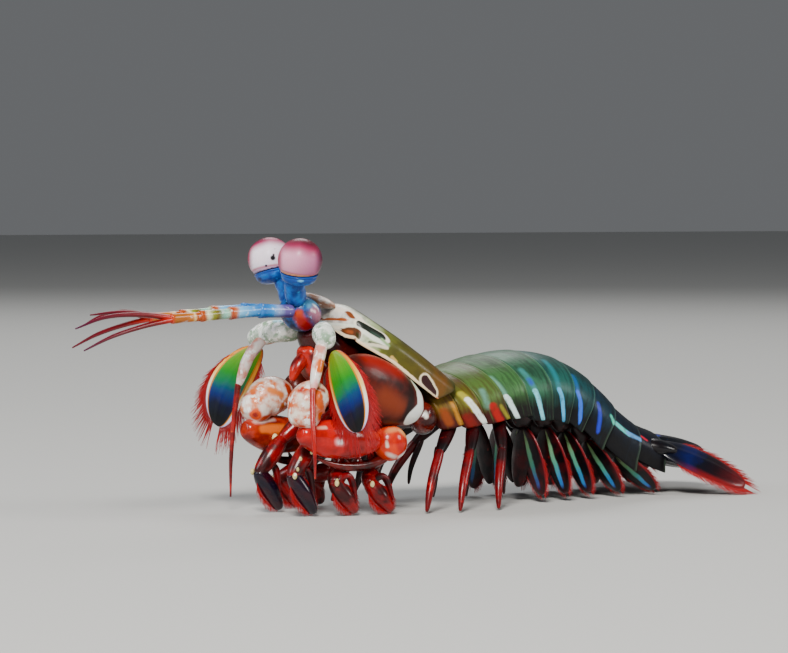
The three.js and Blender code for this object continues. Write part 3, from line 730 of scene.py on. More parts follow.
# Marks in painting order: tint, half width, softness and places as shares of the length and girth
shieldMarks = [
    ("efe4d2", 0.9, 0.4, (0.04, 0.36), (0.12, 0.54), (0.16, 0.62)),
    ("9c4c18", 0.5, 0.25, (0.0, 0.6), (0.02, 0.64)), ("7c3c14", 0.6, 0.2, (0.06, 0.46), (0.07, 0.58)),
    ("f2ead6", 1.55, 0.2, (0.12, 0.725), (0.237, 0.715), (0.33, 0.705)),
    ("0c160a", 1.2, 0.16, (0.13, 0.725), (0.22, 0.715), (0.31, 0.705)),
    ("0c3020", 0.36, 0.2, (0.25, 0.74), (0.32, 0.73)),
    ("eef2e4", 0.5, 0.22, (0.0, 0.77), (0.07, 0.8), (0.14, 0.815), (0.216, 0.815), (0.284, 0.81),
     (0.36, 0.8)), ("f2ead6", 1.3, 0.2, (0.02, 0.885), (0.15, 0.9)),
    ("5c2c06", 1.05, 0.14, (0.04, 0.885), (0.15, 0.9)), ("3a300a", 0.5, 0.25, (0.11, 0.9), (0.17, 0.91)),
    ("98440c", 0.35, 0.25, (0.03, 0.88), (0.05, 0.885)), ("14301a", 0.45, 0.2, (0.27, 0.9), (0.34, 0.87)),
    ("8cb078", 0.4, 0.3, (0.33, 0.76), (0.38, 0.8)),
    ("e4dcc0", 0.35, 0.2, (0.24, 0.955), (0.29, 0.9), (0.38, 0.84)),
    ("caa85c", 0.3, 0.2, (0.44, 0.92), (0.48, 0.94)),
    ("f0e2bc", 1.2, 0.2, (0.722, 0.885), (0.776, 0.92), (0.83, 0.96)),
    ("2c0608", 0.84, 0.14, (0.722, 0.885), (0.776, 0.92), (0.83, 0.96)),
    ("f6dcb4", 0.42, 0.14, (-0.05, 0.9), (0.0, 0.955), (0.1, 0.972), (0.3, 0.974), (0.6, 0.975),
     (0.74, 0.985), (0.9, 1.0)), ("d8702c", 0.4, 0.25, (0.88, 1.0), (0.93, 1.0)),
]


def shieldLook():
    look = Look("carapace shell", 0.4, 0.15, 0.15, soft=0.03, shine=0.3)
    place = look.place()
    s, _, girth = look.split(look.flat())
    sheet = warped(look, look.sheet(shieldLength, shield["girth"]), 0.7, 0.45)
    sway = look.drift(place, 260.0, 0.16)
    tint = look.ramp(look.plus(s, sway), [
        (0.0, "e6dcd4"), (0.14, "dde4d0"), (0.27, "b4c494"), (0.36, "6c7428"), (0.5, "504e12"),
        (0.72, "5a480c"), (0.86, "6a420c"), (1.0, "343f10")])
    cloudy = look.noise(place, 320.0, 4)
    tint = look.blend(look.times(look.step(cloudy, 0.46, 0.64), 0.5), tint, "3c3408")
    ridge = look.times(look.step(look.plus(girth, sway), 0.5, 0.3), look.step(s, 0.05, 0.2))
    tint = look.blend(look.times(ridge, 0.9), tint, "33260a")
    tint = look.paint(tint, sheet, spread(shieldMarks, shieldLength, shield["girth"]))
    tint = look.blend(look.step(girth, 1.0, 1.04), tint, "5a1a10")
    fine = look.noise(place, 1000.0, 2)
    rim = look.times(look.band(girth, 0.955, 1.0, 0.012), 2.0)
    return look.done(tint, look.bump(look.plus(fine, rim), 0.25, 0.00016),
                     look.step(cloudy, 0.3, 0.7, 0.36, 0.5))


def carapace():
    count = 26
    stations = []
    for i in range(count + 1):
        t = i / count
        size = 0.94 if i == 0 else 1
        stations.append((t * shieldLength / 1000, along(shield["halfWidth"], t) * size / 1000,
                         along(shield["depth"], t) * size / 1000, -0.0003 if i == 0 else 0))
    x, wide, tall, lift = stations[-1]
    stations += [(x + 0.00012, wide * 0.985, tall * 0.98, -0.0001)]
    piece = extruded("carapace", stations, 84, arch)
    for v in piece.data.vertices:
        deep = along(shield["depth"], v.co.x * 1000 / shieldLength) / 1000
        share = min(max(-v.co.z / deep, 0), 1)
        v.co.x *= 1 - shield["cornerForward"] / shieldLength * share ** 2
    noteGirth(piece, shieldLength, shield["halfWidth"], 0)
    bent(piece, shieldLine, stretch=False)
    smoothed(coated(piece, shieldLook()))
    return handOver(piece, "carapace")


carapace()
rostralSkin = skin("rostral plate", "e2dcd6", "c08a6c", "fbf6f0", 0.3, 0.3, 500.0)
rostral = limb("rostral_plate", [(-15, 0, 36.8), (-18.4, 0, 38.4), (-21.8, 0, 39.4)],
               [(4, 0.9), (3.4, 0.8), (0.7, 0.5)], rostralSkin, sides=24, levels=2)
handOver(rostral, "rostral_plate")
print("carapace made")


# Chest, head and mouth
chest = limb("chest", [(-20, 0, 33), (-14.6, 0, 28.4), (-7, 0, 22.6), (0, 0, 18.2), (5.6, 0, 16.4)],
             [(4.8, 3.4), (5.4, 4.6), (5.6, 5), (5.8, 4.6), (5.4, 3.4)], looks["chest"], sides=24)
handOver(chest, "chest")
headSkin = skin("head skin", "0a549c", "061a44", "58b0dc", 0.36, 0.12, 520.0, 900.0, 0.64, wander=1.6, marks=[
    ("a8687c", 1.1, 0.8, (-21, 3.9, 36.2), (-19.8, 3.2, 34.8)),
    ("5ca8d4", 0.8, 0.6, (-19.4, 2.8, 38), (-21.8, 3.8, 37.8)),
    ("e8eef2", 0.26, 0.2, (-20.8, 3.8, 37.4), (-20.2, 3.7, 36.4)),
    ("e0c8cc", 0.24, 0.2, (-21.8, 4.1, 36.6), (-21.2, 4, 36)),
    ("c43c08", 0.9, 0.5, (-23.8, 3, 35.7), (-23, 2.4, 34.4)),
    ("9c0804", 1.1, 0.6, (-22.9, 2.8, 34.4), (-21.4, 2.4, 32.8)),
    ("0a1c2c", 0.6, 0.4, (-22.4, 4, 38.4), (-23, 4.2, 37.8))])
head = limb("head", [(-18.8, 0, 34.2), (-21.8, 0, 36.2), (-24.4, 0, 37.2)], [(4.2, 3.2), (4.3, 3.2), (3.2, 2.5)],
            headSkin, sides=24, levels=2)
handOver(head, "head")
mouth = [
    limb("jaw", [(-20.2, 0, 30), (-18, 0, 26), (-14.5, 0, 22)], [(3, 2.2), (3.6, 2.4), (2.8, 1.8)],
         looks["mouthRed"]),
    limb("lip", [(-19.6, 0, 28.6), (-22, 0, 26.2), (-23, 0, 23.8)], [(1.6, 1.4), (1.5, 1.2), (0.9, 0.8)],
         looks["mouthRed"])]
handOver(mouth, "mouth")


# Eyes: a flat-bottomed cornea on a blue cup with a creased neck
eyes = {
    "left": {"centre": (-25.4, -5.7, 45.4), "lean": (-0.1, -0.25, 1),
             "stalk": [(-23.2, -1.8, 37.6), (-24.2, -2.6, 39.6), (-25.9, -4.5, 42.2)],
             "tones": {"left": "e2a2bc", "right": "b4668e", "top": "a02c54", "rim": "520318",
                       "edge": "541030"},
             "spots": [((-27.4, -8.9, 43.2), 0.4, "5c0818"), ((-27.0, -9.0, 43.2), 0.24, "8a1c28")],
             "line": "d8946c"},
    "right": {"centre": (-24.3, 4.9, 45.5), "lean": (-0.1, 0.25, 1),
              "stalk": [(-22.2, 2, 37.4), (-22.2, 2.2, 39.8), (-23.3, 3.1, 42.5)],
              "tones": {"left": "f6e8f4", "right": "e2dae8", "top": "a4285a", "rim": "5c0424",
                        "edge": "4c1034"},
              "spots": [
                  ((-26.1, 1.5, 45.7), 0.5, "06060c"), ((-25.9, 1.6, 46.2), 0.3, "1c1020"),
                  ((-25.6, 1.5, 47.4), 0.24, "4a3448"), ((-27.0, 2.3, 44.3), 0.24, "2c2430")],
              "line": "c0a0b8"},
}
cupSkin = skin(
    "eyestalk skin", "0470cc", "063c8c", "2c9ce0", 0.36, 0.15, 420.0, 800.0, 0.66, wander=0.8, marks=[
    ("0b4496", 4.5, 0.12, (-25.4, 5.6, 45.2)), ("1464b4", 0.6, 0.4, (-28.6, 4.4, 42.4), (-27, 2.6, 42.2)),
    ("04122e", 1.5, 0.7, (-22.2, 6.6, 42), (-22, 4, 42.2)),
    # Painted shade: a near-black stroke on the rear of each cup, beside the head
    ("58b4e8", 0.22, 0.15, (-27.8, 6.2, 42.2), (-26.4, 7.8, 41.6)),
    ("061c50", 0.28, 0.2, (-27.6, 3.6, 42.0), (-25.6, 6.2, 41.2)),
    # Painted shade: a near-black stroke on the rear of the stalk, where the cup meets the head
    ("041434", 0.6, 0.4, (-22.4, 3, 40.8), (-22.6, 4, 41.6)),
    ("083c88", 0.4, 0.3, (-25.8, 3.2, 41), (-25.6, 4.2, 39)),
    ("0a50a8", 0.4, 0.3, (-23.6, 4.6, 41), (-24, 4.4, 38.6)),
    ("44b0ec", 0.45, 0.3, (-25, 2.4, 38.4), (-25.8, 3.2, 39.8))])
eyeSize = (3.95, 3.9, 3.85)
flatBelow = 2.05  # the cornea's flat base, millimetres below its centre
# The bowl under each cornea: millimetres below its centre, and radius
bowl = [
    (4.5, 0.5), (4.42, 1.3), (4.2, 2.1), (3.9, 2.65), (3.5, 3.02), (3.1, 3.22), (2.85, 3.26), (2.72, 3.2),
    (2.62, 3.3), (2.46, 3.4), (2.34, 3.38), (2.26, 3.2)]


def eyeAndStalk(side, sign):
    shape = eyes[side]
    centre, lean = Vector(shape["centre"]), Vector(shape["lean"]).normalized()
    bpy.ops.object.select_all(action="DESELECT")
    bpy.ops.mesh.primitive_uv_sphere_add(segments=80, ring_count=56, radius=1)
    dome = bpy.context.object
    for v in dome.data.vertices:
        v.co = mm(centre + v.co * Vector(eyeSize))
    bpy.ops.object.mode_set(mode="EDIT")
    bpy.ops.mesh.select_all(action="SELECT")
    bpy.ops.mesh.bisect(plane_co=mm(centre - lean * flatBelow), plane_no=lean, use_fill=True,
                        clear_inner=True)
    bpy.ops.object.mode_set(mode="OBJECT")
    facedOut(dome)
    bpy.ops.object.shade_smooth_by_angle(angle=math.radians(50))
    look = corneaLook("cornea " + side, centre, (0, sign * 0.25), shape["tones"], shape["spots"],
                      shape["line"])
    handOver(coated(dome, look), "eye_" + side)
    low, high = bowl[0][0], bowl[-1][0]
    cup = extruded("cup", [((low - below) / 1000, r / 1000, r / 1000, 0) for below, r in bowl], 40)
    bent(cup, [mm(centre - lean * mix(low, high, i / 4)) for i in range(5)], upright=False)
    stalk = limb("stalk", shape["stalk"], [(2.1, 2), (1.9, 1.9), (2, 2)], cupSkin, sides=28, upright=False,
                 swell=crease(0.55, 0.07, 0.06))
    handOver([smoothed(coated(cup, cupSkin)), stalk], "eyestalk_" + side)


onBothSides(eyeAndStalk)
print("eyes made")


# Antennules: jointed stalks, blue at the root and banded orange further out, with three ringed whips each
def antennuleLook():
    look = Look("antennule bands", 0.3, 0.35, 0.12, soft=0.03)
    place = look.place()
    x, _, z = look.split(look.folded())
    grains = look.noise(place, 700.0, 3)
    x = look.plus(x, look.times(look.minus(grains, 0.5), 1.2))
    share = look.sum("DIVIDE", look.plus(x, 72.0), 48.0)
    tint = look.ramp(share, [
        (0.039, "4a0a30"), (0.124, "5c0820"), (0.341, "6c0610"), (0.389, "8c0a04"), (0.411, "b01404"),
        (0.433, "b82404"), (0.446, "a86008"), (0.491, "ac5c0c"), (0.522, "c8781c"), (0.533, "f0d090"),
        (0.544, "b0500c"), (0.576, "a84408"), (0.594, "e6e6bc"), (0.612, "889024"), (0.639, "6c5c10"),
        (0.666, "8cc8b4"), (0.684, "9cc8a8"), (0.698, "a83c0c"), (0.716, "c86c3c"), (0.734, "7cc4ec"),
        (0.789, "3490d4"), (0.844, "1468b8"), (0.882, "2c8cd4"), (0.909, "88a0d0"), (0.942, "5c4c90")])
    glints = look.noise(place, 1100.0, 2)
    glints = look.times(look.step(glints, 0.6, 0.7), look.step(share, 0.42, 0.5))
    tint = look.blend(look.times(glints, 0.45), tint, "dcf0f4")
    lower = look.step(z, 36.2, 35.0)
    tint = look.blend(look.times(look.times(lower, look.step(share, 0.6, 0.8)), 0.75), tint, "0a2450")
    return look.done(tint, look.bump(grains, 0.25, 0.0001))


looks["antennule"] = antennuleLook()
antennules = {
    "joints": [(-25, 36.3), (-32, 36.5), (-38.6, 36.2), (-44.8, 35.8), (-51, 35.5)],
    "halfWidths": (1.3, 1.15, 1.0, 0.9), "narrowed": 0.9, "apart": 2.4, "gap": 0.35,
    # places along a segment and shares of its half width
    "profile": [
        (0.0, 0.7), (0.03, 0.88), (0.1, 0.94), (0.3, 0.9), (0.6, 0.92), (0.8, 0.97), (0.88, 1.03),
        (0.93, 1.05), (0.97, 0.98), (1.0, 0.78)],
    # each whip's tip, spread and arch
    "whips": [((-70.4, 34.2), 1.3, 1.8), ((-70.4, 30.6), 2.4, 0.9), ((-66.4, 36.4), 0.6, 0.8)],
    "whipHalves": (0.58, 0.46, 0.38, 0.14), "shorter": {"left": 0, "right": 5},
}


def antennule(side, sign):
    shape = antennules
    y = sign * shape["apart"]
    joint = [Vector((x, y * (1 + i * 0.1), z)) for i, (x, z) in enumerate(shape["joints"])]
    gap = Vector((shape["gap"], 0, 0))
    pieces = []
    for i, half in enumerate(shape["halfWidths"]):
        stations = [(t * 0.01, half * r * shape["narrowed"] / 1000, half * r / 1000, 0)
                    for t, r in shape["profile"]]
        segment = extruded("segment", stations, 20)
        line = [joint[i] + gap, middle(joint[i], joint[i + 1]), joint[i + 1] - gap]
        bent(segment, [mm(p) for p in track(line, 8)])
        pieces.append(smoothed(coated(segment, looks["antennule"])))
    start = joint[4] + Vector((0.8, 0, 0))
    for (tipX, tipZ), spreadOut, arched in shape["whips"]:
        end = Vector((tipX + shape["shorter"][side], y * spreadOut, tipZ))
        near, far = start.lerp(end, 0.35), start.lerp(end, 0.7)
        near.z += arched * 0.7
        far.z += arched * 0.8
        pieces.append(ringedWhip([start, near, far, end], shape["whipHalves"], looks["antennule"], 110, 0.86))
    handOver(pieces, "antennule_" + side)


onBothSides(antennule)


# Antennae: bulky pale bases, jointed stalks and hanging whips
looks["antennaBase"] = skin(
    "antenna base", "e4e8de", "88a488", "fdfdfa", 0.38, 0.15, 760.0, 900.0, 0.56, marks=[
    ("2c4868", 0.42, 0.2, (-23.2, 12.3, 31.4), (-23, 12.5, 31.2)),
    ("3c7c48", 0.3, 0.2, (-22.2, 9.2, 34.4), (-22.1, 9.0, 34.3)),
    ("3c8c58", 0.3, 0.2, (-24, 7.2, 34.2), (-24.1, 7, 34.2)),
    ("2c6c50", 0.25, 0.2, (-23.6, 11.4, 33.4), (-23.6, 11.3, 33.4)),
    ("b0581c", 0.6, 0.5, (-20, 6, 30.2), (-22, 8, 30)),
    ("7ca43c", 0.4, 0.25, (-22.6, 9.8, 31.6), (-22.4, 10, 31.2)),
    ("8ccce0", 0.8, 0.5, (-20.4, 5.4, 34), (-21.4, 6.6, 34.2))])
looks["antennaStalk"] = skin(
    "antenna stalk", "f2e8e0", "d88c7c", "ffffff", 0.3, 0.4, 420.0, 700.0, 0.6, marks=[
    ("d8641c", 0.9, 0.3, (-25.2, 11.6, 27.4), (-25.6, 11.8, 26.6)),
    ("8a0c14", 0.7, 0.4, (-23, 9, 29.6), (-23.8, 9, 28.4)),
    ("e8a0a0", 0.6, 0.3, (-26.8, 12.4, 24.4), (-27, 12.5, 23.6))])
looks["antennaWhip"] = skin("antenna whip", "a8100c", "5c040a", "d8501c", 0.3, 0.4, 300.0, 700.0)
antennae = {
    "left": {"outer": 10.6, "stalk": [(-22.4, -8.4, 31.6), (-24.6, -10.2, 28.4), (-27, -11.6, 22.6)],
             "whip": [(-27, -11.6, 23), (-28.4, -13.4, 18), (-29, -14.8, 12.5), (-29.2, -15.2, 7.6)]},
    "right": {"outer": 12.6, "stalk": [(-22.4, 8.4, 31.8), (-25.2, 9.8, 28.2), (-27.2, 10.6, 22.6)],
              "whip": [(-27.2, 10.6, 23), (-27.8, 11.2, 16), (-28, 11.8, 9), (-27.8, 12.2, 2.6)]},
}


def antenna(side, sign):
    shape = antennae[side]
    line = [(-18.4, sign * 3.6, 32.2), (-21.6, sign * 7.4, 32.4), (-23, sign * shape["outer"], 30.8)]
    pieces = [
        limb("base", line, [(1.9, 2), (2.1, 2.2), (2.1, 2.1)], looks["antennaBase"], sides=22, levels=2,
             swell=crease(0.42, 0.12, 0.05)),
        ringedWhip(shape["whip"], (0.6, 0.5, 0.4, 0.18), looks["antennaWhip"], 90, 0.88, upright=False),
        limb("stalk", shape["stalk"], evenly(1.25, 1.15, 0.9), looks["antennaStalk"], upright=False,
             swell=crease(0.5, 0.2, 0.04), levels=2)]
    handOver(pieces, "antenna_" + side)


onBothSides(antenna)


# Antennal scales: bright leaves edged with bristles
def scaleLook():
    look = Look("scale blade", 0.38, 0.12, 0.15, soft=0.03)
    place = look.place()
    t, across, _ = look.split(look.flat())
    drift = look.drift(place, 300.0, 0.14)
    slope = look.plus(look.plus(t, drift), look.times(across, 0.06))
    tint = look.ramp(slope, [
        (0.0, "7c7a10"), (0.1, "709408"), (0.26, "449406"), (0.38, "0c8814"), (0.5, "037048"),
        (0.58, "023c6c"), (0.66, "021c64"), (0.76, "010528"), (0.9, "010108")])
    ribs = look.noise(look.flat(), 1.0, 2, stretch=(2.0, 30.0, 1.0))
    tint = look.blend(look.times(look.step(ribs, 0.55, 0.7), 0.35), tint, "0a2c18")
    edge = look.plus(look.sum("ABSOLUTE", across), look.times(drift, 0.2))
    rim = look.ramp(t, [
        (0.0, "c4680c"), (0.3, "f0a020"), (0.5, "f8d070"), (0.66, "f6efe2"), (0.85, "dcdcf8"),
        (1.0, "c4bcee")])
    tint = look.blend(look.step(edge, 0.72, 0.78), tint, "c8780c")
    tint = look.blend(look.step(edge, 0.8, 0.84), tint, rim)
    tint = look.blend(look.step(edge, 0.95, 0.99), tint, "a00c14")
    return look.done(tint, look.bump(look.plus(ribs, look.noise(place, 900.0, 2)), 0.25, 0.00014))


looks["scale"] = scaleLook()
bristleLook = Look("crimson bristle", 0.45, 0.15, soft=0.1)
tipwards = bristleLook.split(bristleLook.flat())[0]
bristleTint = bristleLook.ramp(tipwards, [(0.0, "560306"), (0.4, "9c060c"), (1.0, "bc101c")])
looks["bristle"] = bristleLook.done(bristleTint)
scales = {
    "left": {"tip": (-20.6, -16.6, 15.4), "halfWidth": 3.9, "facing": (-1, -0.2, 0.1), "bow": (0, -0.6, 0.2)},
    "right": {"tip": (-26.6, 18.4, 15), "halfWidth": 4.1, "facing": (-0.9, -0.5, 0.1),
              "bow": (-0.4, 1.8, 0.6)},
}


def antennalScale(side, sign):
    leaf = scales[side]
    shape = bladeShape((-22, sign * 11, 29.6), leaf["tip"], leaf["halfWidth"], 0.7, leaf["facing"],
                       leaf["bow"], 0.62)
    pieces = [blade("scale", shape, looks["scale"], 32, ribs=(0.0,), rise=0.2, levels=2),
              bristles("fringe", shape, looks["bristle"], 260, 2.4, 4.9, start=0.12, width=0.12)]
    handOver(pieces, "antennal_scale_" + side)


onBothSides(antennalScale)
print("head limbs made")


# Raptorial claws
looks["merus"] = skin(
    "merus shell", "641606", "2a0602", "8c2a08", 0.38, 0.12, 130.0, 500.0, 0.76, wander=0.3, marks=[
    ("981406", 1.8, 1.4, (-14, 10.6, 27.4), (-8, 11.6, 26.2)),
    ("7c2c0a", 1.8, 1.5, (-12, 12.6, 21), (-8.5, 12.6, 19)),
    ("1c0602", 0.8, 0.6, (-5.2, 11, 24.2), (-5.4, 12.2, 21), (-6.4, 12, 17.4)),
    ("3c0a04", 1.2, 1.0, (-16, 12, 21), (-17, 11, 18.6)),
    ("dce8cc", 0.7, 0.25, (-3.9, 10.6, 23.6), (-3.1, 10.9, 21)),
    ("f6faf2", 1.1, 0.2, (-2.9, 11, 21), (-2.9, 11, 18.6)),
    ("f6faf2", 1.75, 0.2, (-3.2, 11, 18), (-4.6, 11, 17)),
    ("d8c8b8", 1.4, 0.5, (-23.6, 7, 25.2), (-21, 6, 27.2)),
    ("c8501c", 0.9, 0.4, (-20.8, 8, 28.2), (-19.4, 7.4, 28.6))])
looks["ischium"] = skin("ischium shell", "741808", "300403", "c8a480", 0.24, 0.4, 300.0, 600.0, 0.68, marks=[
    ("f2f2e6", 0.7, 0.25, (-2.2, 11.4, 19.4), (-1.6, 11.6, 17.4)), ("4a0c06", 1.2, 0.5, (1.5, 8, 16))])
looks["carpusNear"] = skin(
    "near carpus shell", "f0e4d2", "d8580c", "fffdf6", 0.24, 0.35, 420.0, 600.0, 0.56, marks=[
    ("e05c0c", 1.0, 0.35, (-24.8, 11.2, 18.2), (-24.2, 11.6, 17.0)),
    ("e8a01c", 0.5, 0.3, (-26, 11.4, 16.6), (-24.6, 11.6, 15.8)),
    ("d0420a", 0.9, 0.4, (-22.2, 10.8, 22), (-21.8, 10.8, 19), (-22.4, 10.6, 16.6)),
    ("a81806", 0.6, 0.35, (-27.8, 9.4, 22.6), (-26.4, 10.8, 21.6)),
    ("dc7434", 0.5, 0.3, (-28.8, 9.4, 20.2), (-27.6, 10.6, 19.4)),
    ("c84010", 0.5, 0.3, (-28.4, 8.6, 17.6), (-27.8, 9.8, 16.2)),
    ("8c2c10", 0.35, 0.25, (-25.6, 10.8, 23), (-24.2, 11, 22.4))])
looks["carpusFar"] = skin(
    "far carpus shell", "f4e8dc", "dc6c20", "fffdf8", 0.24, 0.35, 360.0, 600.0, 0.56, marks=[
    ("e04c0c", 1.15, 0.3, (-26.3, 6.6, 17.6)), ("8c1404", 0.5, 0.25, (-26.3, 6.6, 17.6)),
    ("dc7c3c", 0.7, 0.4, (-23.8, 5.8, 22), (-21.4, 5.6, 21)),
    ("c83c0c", 0.7, 0.35, (-24.6, 6.4, 16.8), (-21.6, 5.8, 17.2)),
    ("b43008", 0.8, 0.4, (-19.6, 6, 23.4), (-18.6, 5.8, 20)),
    ("d0602c", 0.5, 0.3, (-26.6, 9, 20.8), (-26, 7.4, 21.4))])
looks["propodus"] = skin(
    "propodus shell", "c80602", "900302", "e41c08", 0.22, 0.4, 200.0, 500.0, 0.74, wander=0.3, marks=[
    ("640802", 0.9, 0.6, (-27, 11.2, 12.4), (-22, 11.8, 11.4)),
    ("ec8a8c", 0.7, 0.4, (-21.4, 11.4, 13.6), (-20.2, 11.5, 13.4)),
    ("fff2f4", 0.4, 0.25, (-21.2, 11.5, 13.5), (-20.6, 11.6, 13.4)),
    ("dc3c10", 0.7, 0.5, (-15, 11.2, 14.8), (-12, 10.8, 14.6)),
    ("e8a48c", 0.4, 0.25, (-25, 10.6, 16.2), (-23.6, 10.8, 16.2))])
looks["propodusFar"] = skin(
    "far propodus shell", "b42c08", "700602", "e8a874", 0.24, 0.4, 260.0, 500.0, 0.68, marks=[
    ("f4ece0", 1.0, 0.5, (-26, 6.4, 17), (-22, 6.4, 17.4)),
    ("e46c20", 0.8, 0.4, (-24.7, 6.4, 15), (-18, 6.2, 14.8)),
    ("4a0503", 1.0, 0.5, (-25, 6, 11.8), (-17, 6.4, 10.8))])
looks["heel"] = skin(
    "club shell", "e03804", "b41402", "f48c40", 0.24, 0.35, 260.0, 500.0, 0.7, wander=0.25, marks=[
    # Painted highlight: a pale arc over the top of the club
    ("f0a060", 0.8, 0.5, (-10.4, 11, 15.4), (-7.6, 11.4, 15.8), (-5.6, 10.8, 14)),
    ("b81002", 0.9, 0.5, (-8.2, 12, 13), (-7.6, 12, 12)),
    # Painted highlights: white crescents low on the club's right and left, and a small one on its left side
    ("fff4ec", 0.6, 0.3, (-5.4, 10.6, 13), (-5.4, 10.6, 11.2), (-7.2, 11.2, 10)),
    ("fbe0d2", 0.6, 0.3, (-10.4, 11.2, 10.6), (-8.4, 11.4, 9.9)),
    ("f8e8d0", 0.35, 0.2, (-10.6, 11.4, 13.2), (-10.4, 11.4, 12.2))])
looks["edge"] = skin("dactyl edge", "6c0a04", "2a0302", "c0561c", 0.2, 0.5, 260.0, 500.0, 0.72)


# Points have y for the right side; the near claw is raised further than the far one
claws = {
    "ischium": ([(1.2, 5.2, 15.4), (0.4, 8.2, 16.4), (-2.2, 9.6, 18.2)], [(2.4, 2.4), (2.5, 2.6), (2.6, 3)]),
    "merus": {
        "left": ([(-1.2, 8.8, 18.2), (-8, 9, 20.8), (-15.4, 9.2, 23.8), (-22, 9, 24)],
                 [(3, 4.2), (3.9, 5.6), (3.8, 5.6), (3, 4.2)]),
        "right": ([(-1.2, 8.8, 18.2), (-7, 9, 20), (-12.6, 9.2, 21.4), (-17.6, 9, 21.6)],
                  [(3, 4.2), (3.9, 5), (3.8, 4.8), (3, 3.8)])},
    "carpus": {
        "left": ([(-22.6, 8.8, 22.6), (-25.8, 8.4, 20.4), (-26.8, 8.4, 16)], [(3, 3), (3.5, 3.7), (3, 3)]),
        "right": ([(-17.2, 8.8, 20.8), (-22.6, 8.6, 20.4), (-26.6, 8.4, 17)],
                  [(3, 3.2), (3.5, 3.9), (3, 3)])},
    "propodus": ([(-27.6, 8.4, 15), (-22, 8.8, 14), (-15, 9.2, 13.2), (-10.2, 9.2, 13)],
                 [(2.5, 2.6), (2.8, 3.6), (2.5, 3.2), (1.8, 2.2)]),
    "heel": ([(-11.2, 9.2, 12.9), (-8, 9.2, 12.6), (-4.9, 9.2, 12.3)], [(2.8, 3.3), (2.8, 3.3), (2.8, 3.2)]),
    "edge": ([(-8.4, 8.6, 10), (-13, 8.4, 8.8), (-19, 8.4, 9), (-23.6, 8.4, 10.4)],
             [(1.3, 1.3), (1.1, 1), (0.8, 0.8), (0.35, 0.35)]),
    "teeth": ((-14, 9.4), (-17, 9.4), (-20, 9.8)),
    "looks": {"left": {"carpus": "carpusNear"}, "right": {"carpus": "carpusFar", "propodus": "propodusFar"}},
}


def claw(side, sign):
    def segment(part, sides, **options):
        points, halves = claws[part][side] if isinstance(claws[part], dict) else claws[part]
        return limb(part, [flipped(p, sign) for p in points], halves,
                    looks[claws["looks"][side].get(part, part)], sides=sides, **options)

    def put(part, pieces):
        handOver(pieces, "claw_" + part + "_" + side)

    put("ischium", segment("ischium", 20, levels=2))
    put("merus", segment("merus", 28, levels=2))
    put("carpus", segment("carpus", 26, levels=2, swell=crease(0.66, 0.12, 0.06)))
    put("propodus", segment("propodus", 26, levels=2))
    teeth = [spine("tooth", (x, 8.5 * sign, z), (x - 0.7, 8.5 * sign, z + 1.1), 0.4, looks["edge"])
             for x, z in claws["teeth"]]
    put("dactyl", [segment("heel", 26, bluntness=0.9, levels=2), segment("edge", 16), *teeth])


onBothSides(claw)
print("claws made")


# Small grasping limbs with rounded hands
graspers = [
    {"root": (-14.5, 3.2, 19), "elbow": (-22, 4.4, 13.2), "wrist": (-26.6, 5, 7.4),
     "foot": (-22.4, 5.2, 0.4)},
    {"root": (-10, 3.8, 17.2), "elbow": (-16, 4.8, 8), "wrist": (-19.6, 8, 6), "foot": (-15.8, 8.6, 0.4)},
    {"root": (-5.5, 4, 15.6), "elbow": (-9.4, 5.4, 7.2), "wrist": (-12.8, 9.4, 5.6),
     "foot": (-9.2, 10.6, 0.4)},
]
looks["grasper"] = skin("grasper shell", "88060a", "300305", "cc2c1c", 0.3, 0.3, 320.0, 600.0, 0.68)
looks["hand"] = skin("grasper hand", "2c0614", "0c0418", "7c1420", 0.26, 0.35, 300.0, 600.0, 0.7)
looks["dot"] = skin("cream dot", "f0e0a4", "c8b878", "fffff0", 0.3, 0.4, 500.0)


# A small raised dot
def dot(place, size, look):
    place = Vector(place)
    return limb("dot", [place - Vector((0, 0, size)), place, place + Vector((0, 0, size * 1.15))],
                evenly(*[size * 0.8] * 3), look, sides=10, bluntness=1.0, upright=False)


def grasper(number, stops, side, sign):
    root, elbow, wrist, foot = [Vector(flipped(stops[k], sign)) for k in ("root", "elbow", "wrist", "foot")]
    foot.z = 1.1
    knuckle, hook = wrist + Vector((0.4, 0, 0.4)), wrist + Vector((3.1, 0, 1.2))
    tip = Vector((mix(hook.x, foot.x, 0.5) + 1, foot.y, 2.6))
    pieces = [
        limb("upper", [root, middle(root, elbow), elbow], evenly(1.5, 1.8, 1.5), looks["grasper"], past=0.6,
             upright=False),
        limb("lower", [elbow, middle(elbow, wrist), wrist], evenly(1.5, 1.8, 1.5), looks["grasper"], past=0.6,
             upright=False),
        limb("hand", [wrist, middle(wrist, foot), foot], [(1.5, 1.7), (2.3, 1.6), (1.6, 1.2)],
             looks["hand" if number == 1 else "grasper"], past=0.6, levels=2),
        limb("hook", [knuckle, hook, tip], [(0.9, 0.8), (0.8, 0.7), (0.4, 0.4)], looks["crimson"],
             upright=False)]
    ahead, out = Vector((-1, 0, 0)), Vector((0, sign, 0))
    pieces += [dot(place, size, looks["dot"]) for place, size in (
        (elbow + ahead * 0.6 + out * 1.3, 0.8), (elbow.lerp(wrist, 0.5) + ahead * 1.2 + out * 1.2, 0.45),
        (elbow.lerp(wrist, 0.3) + out * 1.7, 0.4), (elbow.lerp(wrist, 0.8) + ahead * 0.7 + out * 1.4, 0.36),
        (wrist + ahead * 0.5 + out * 1.4, 0.55), (root.lerp(elbow, 0.75) + ahead * 0.4 + out * 1.65, 0.42),
        (root.lerp(elbow, 0.5) + out * 1.75, 0.34), (wrist.lerp(foot, 0.3) + out * 1.6, 0.36))]
    hand = bladeShape(wrist, foot, 1.9, 0.4, (0, sign, 0))
    pieces.append(bristles("brush", hand, looks["bristle"], 150, 1.7, 1.0, start=0.06, width=0.08,
                           droop=0.15))
    handOver(pieces, f"grasper_{number}_{side}")


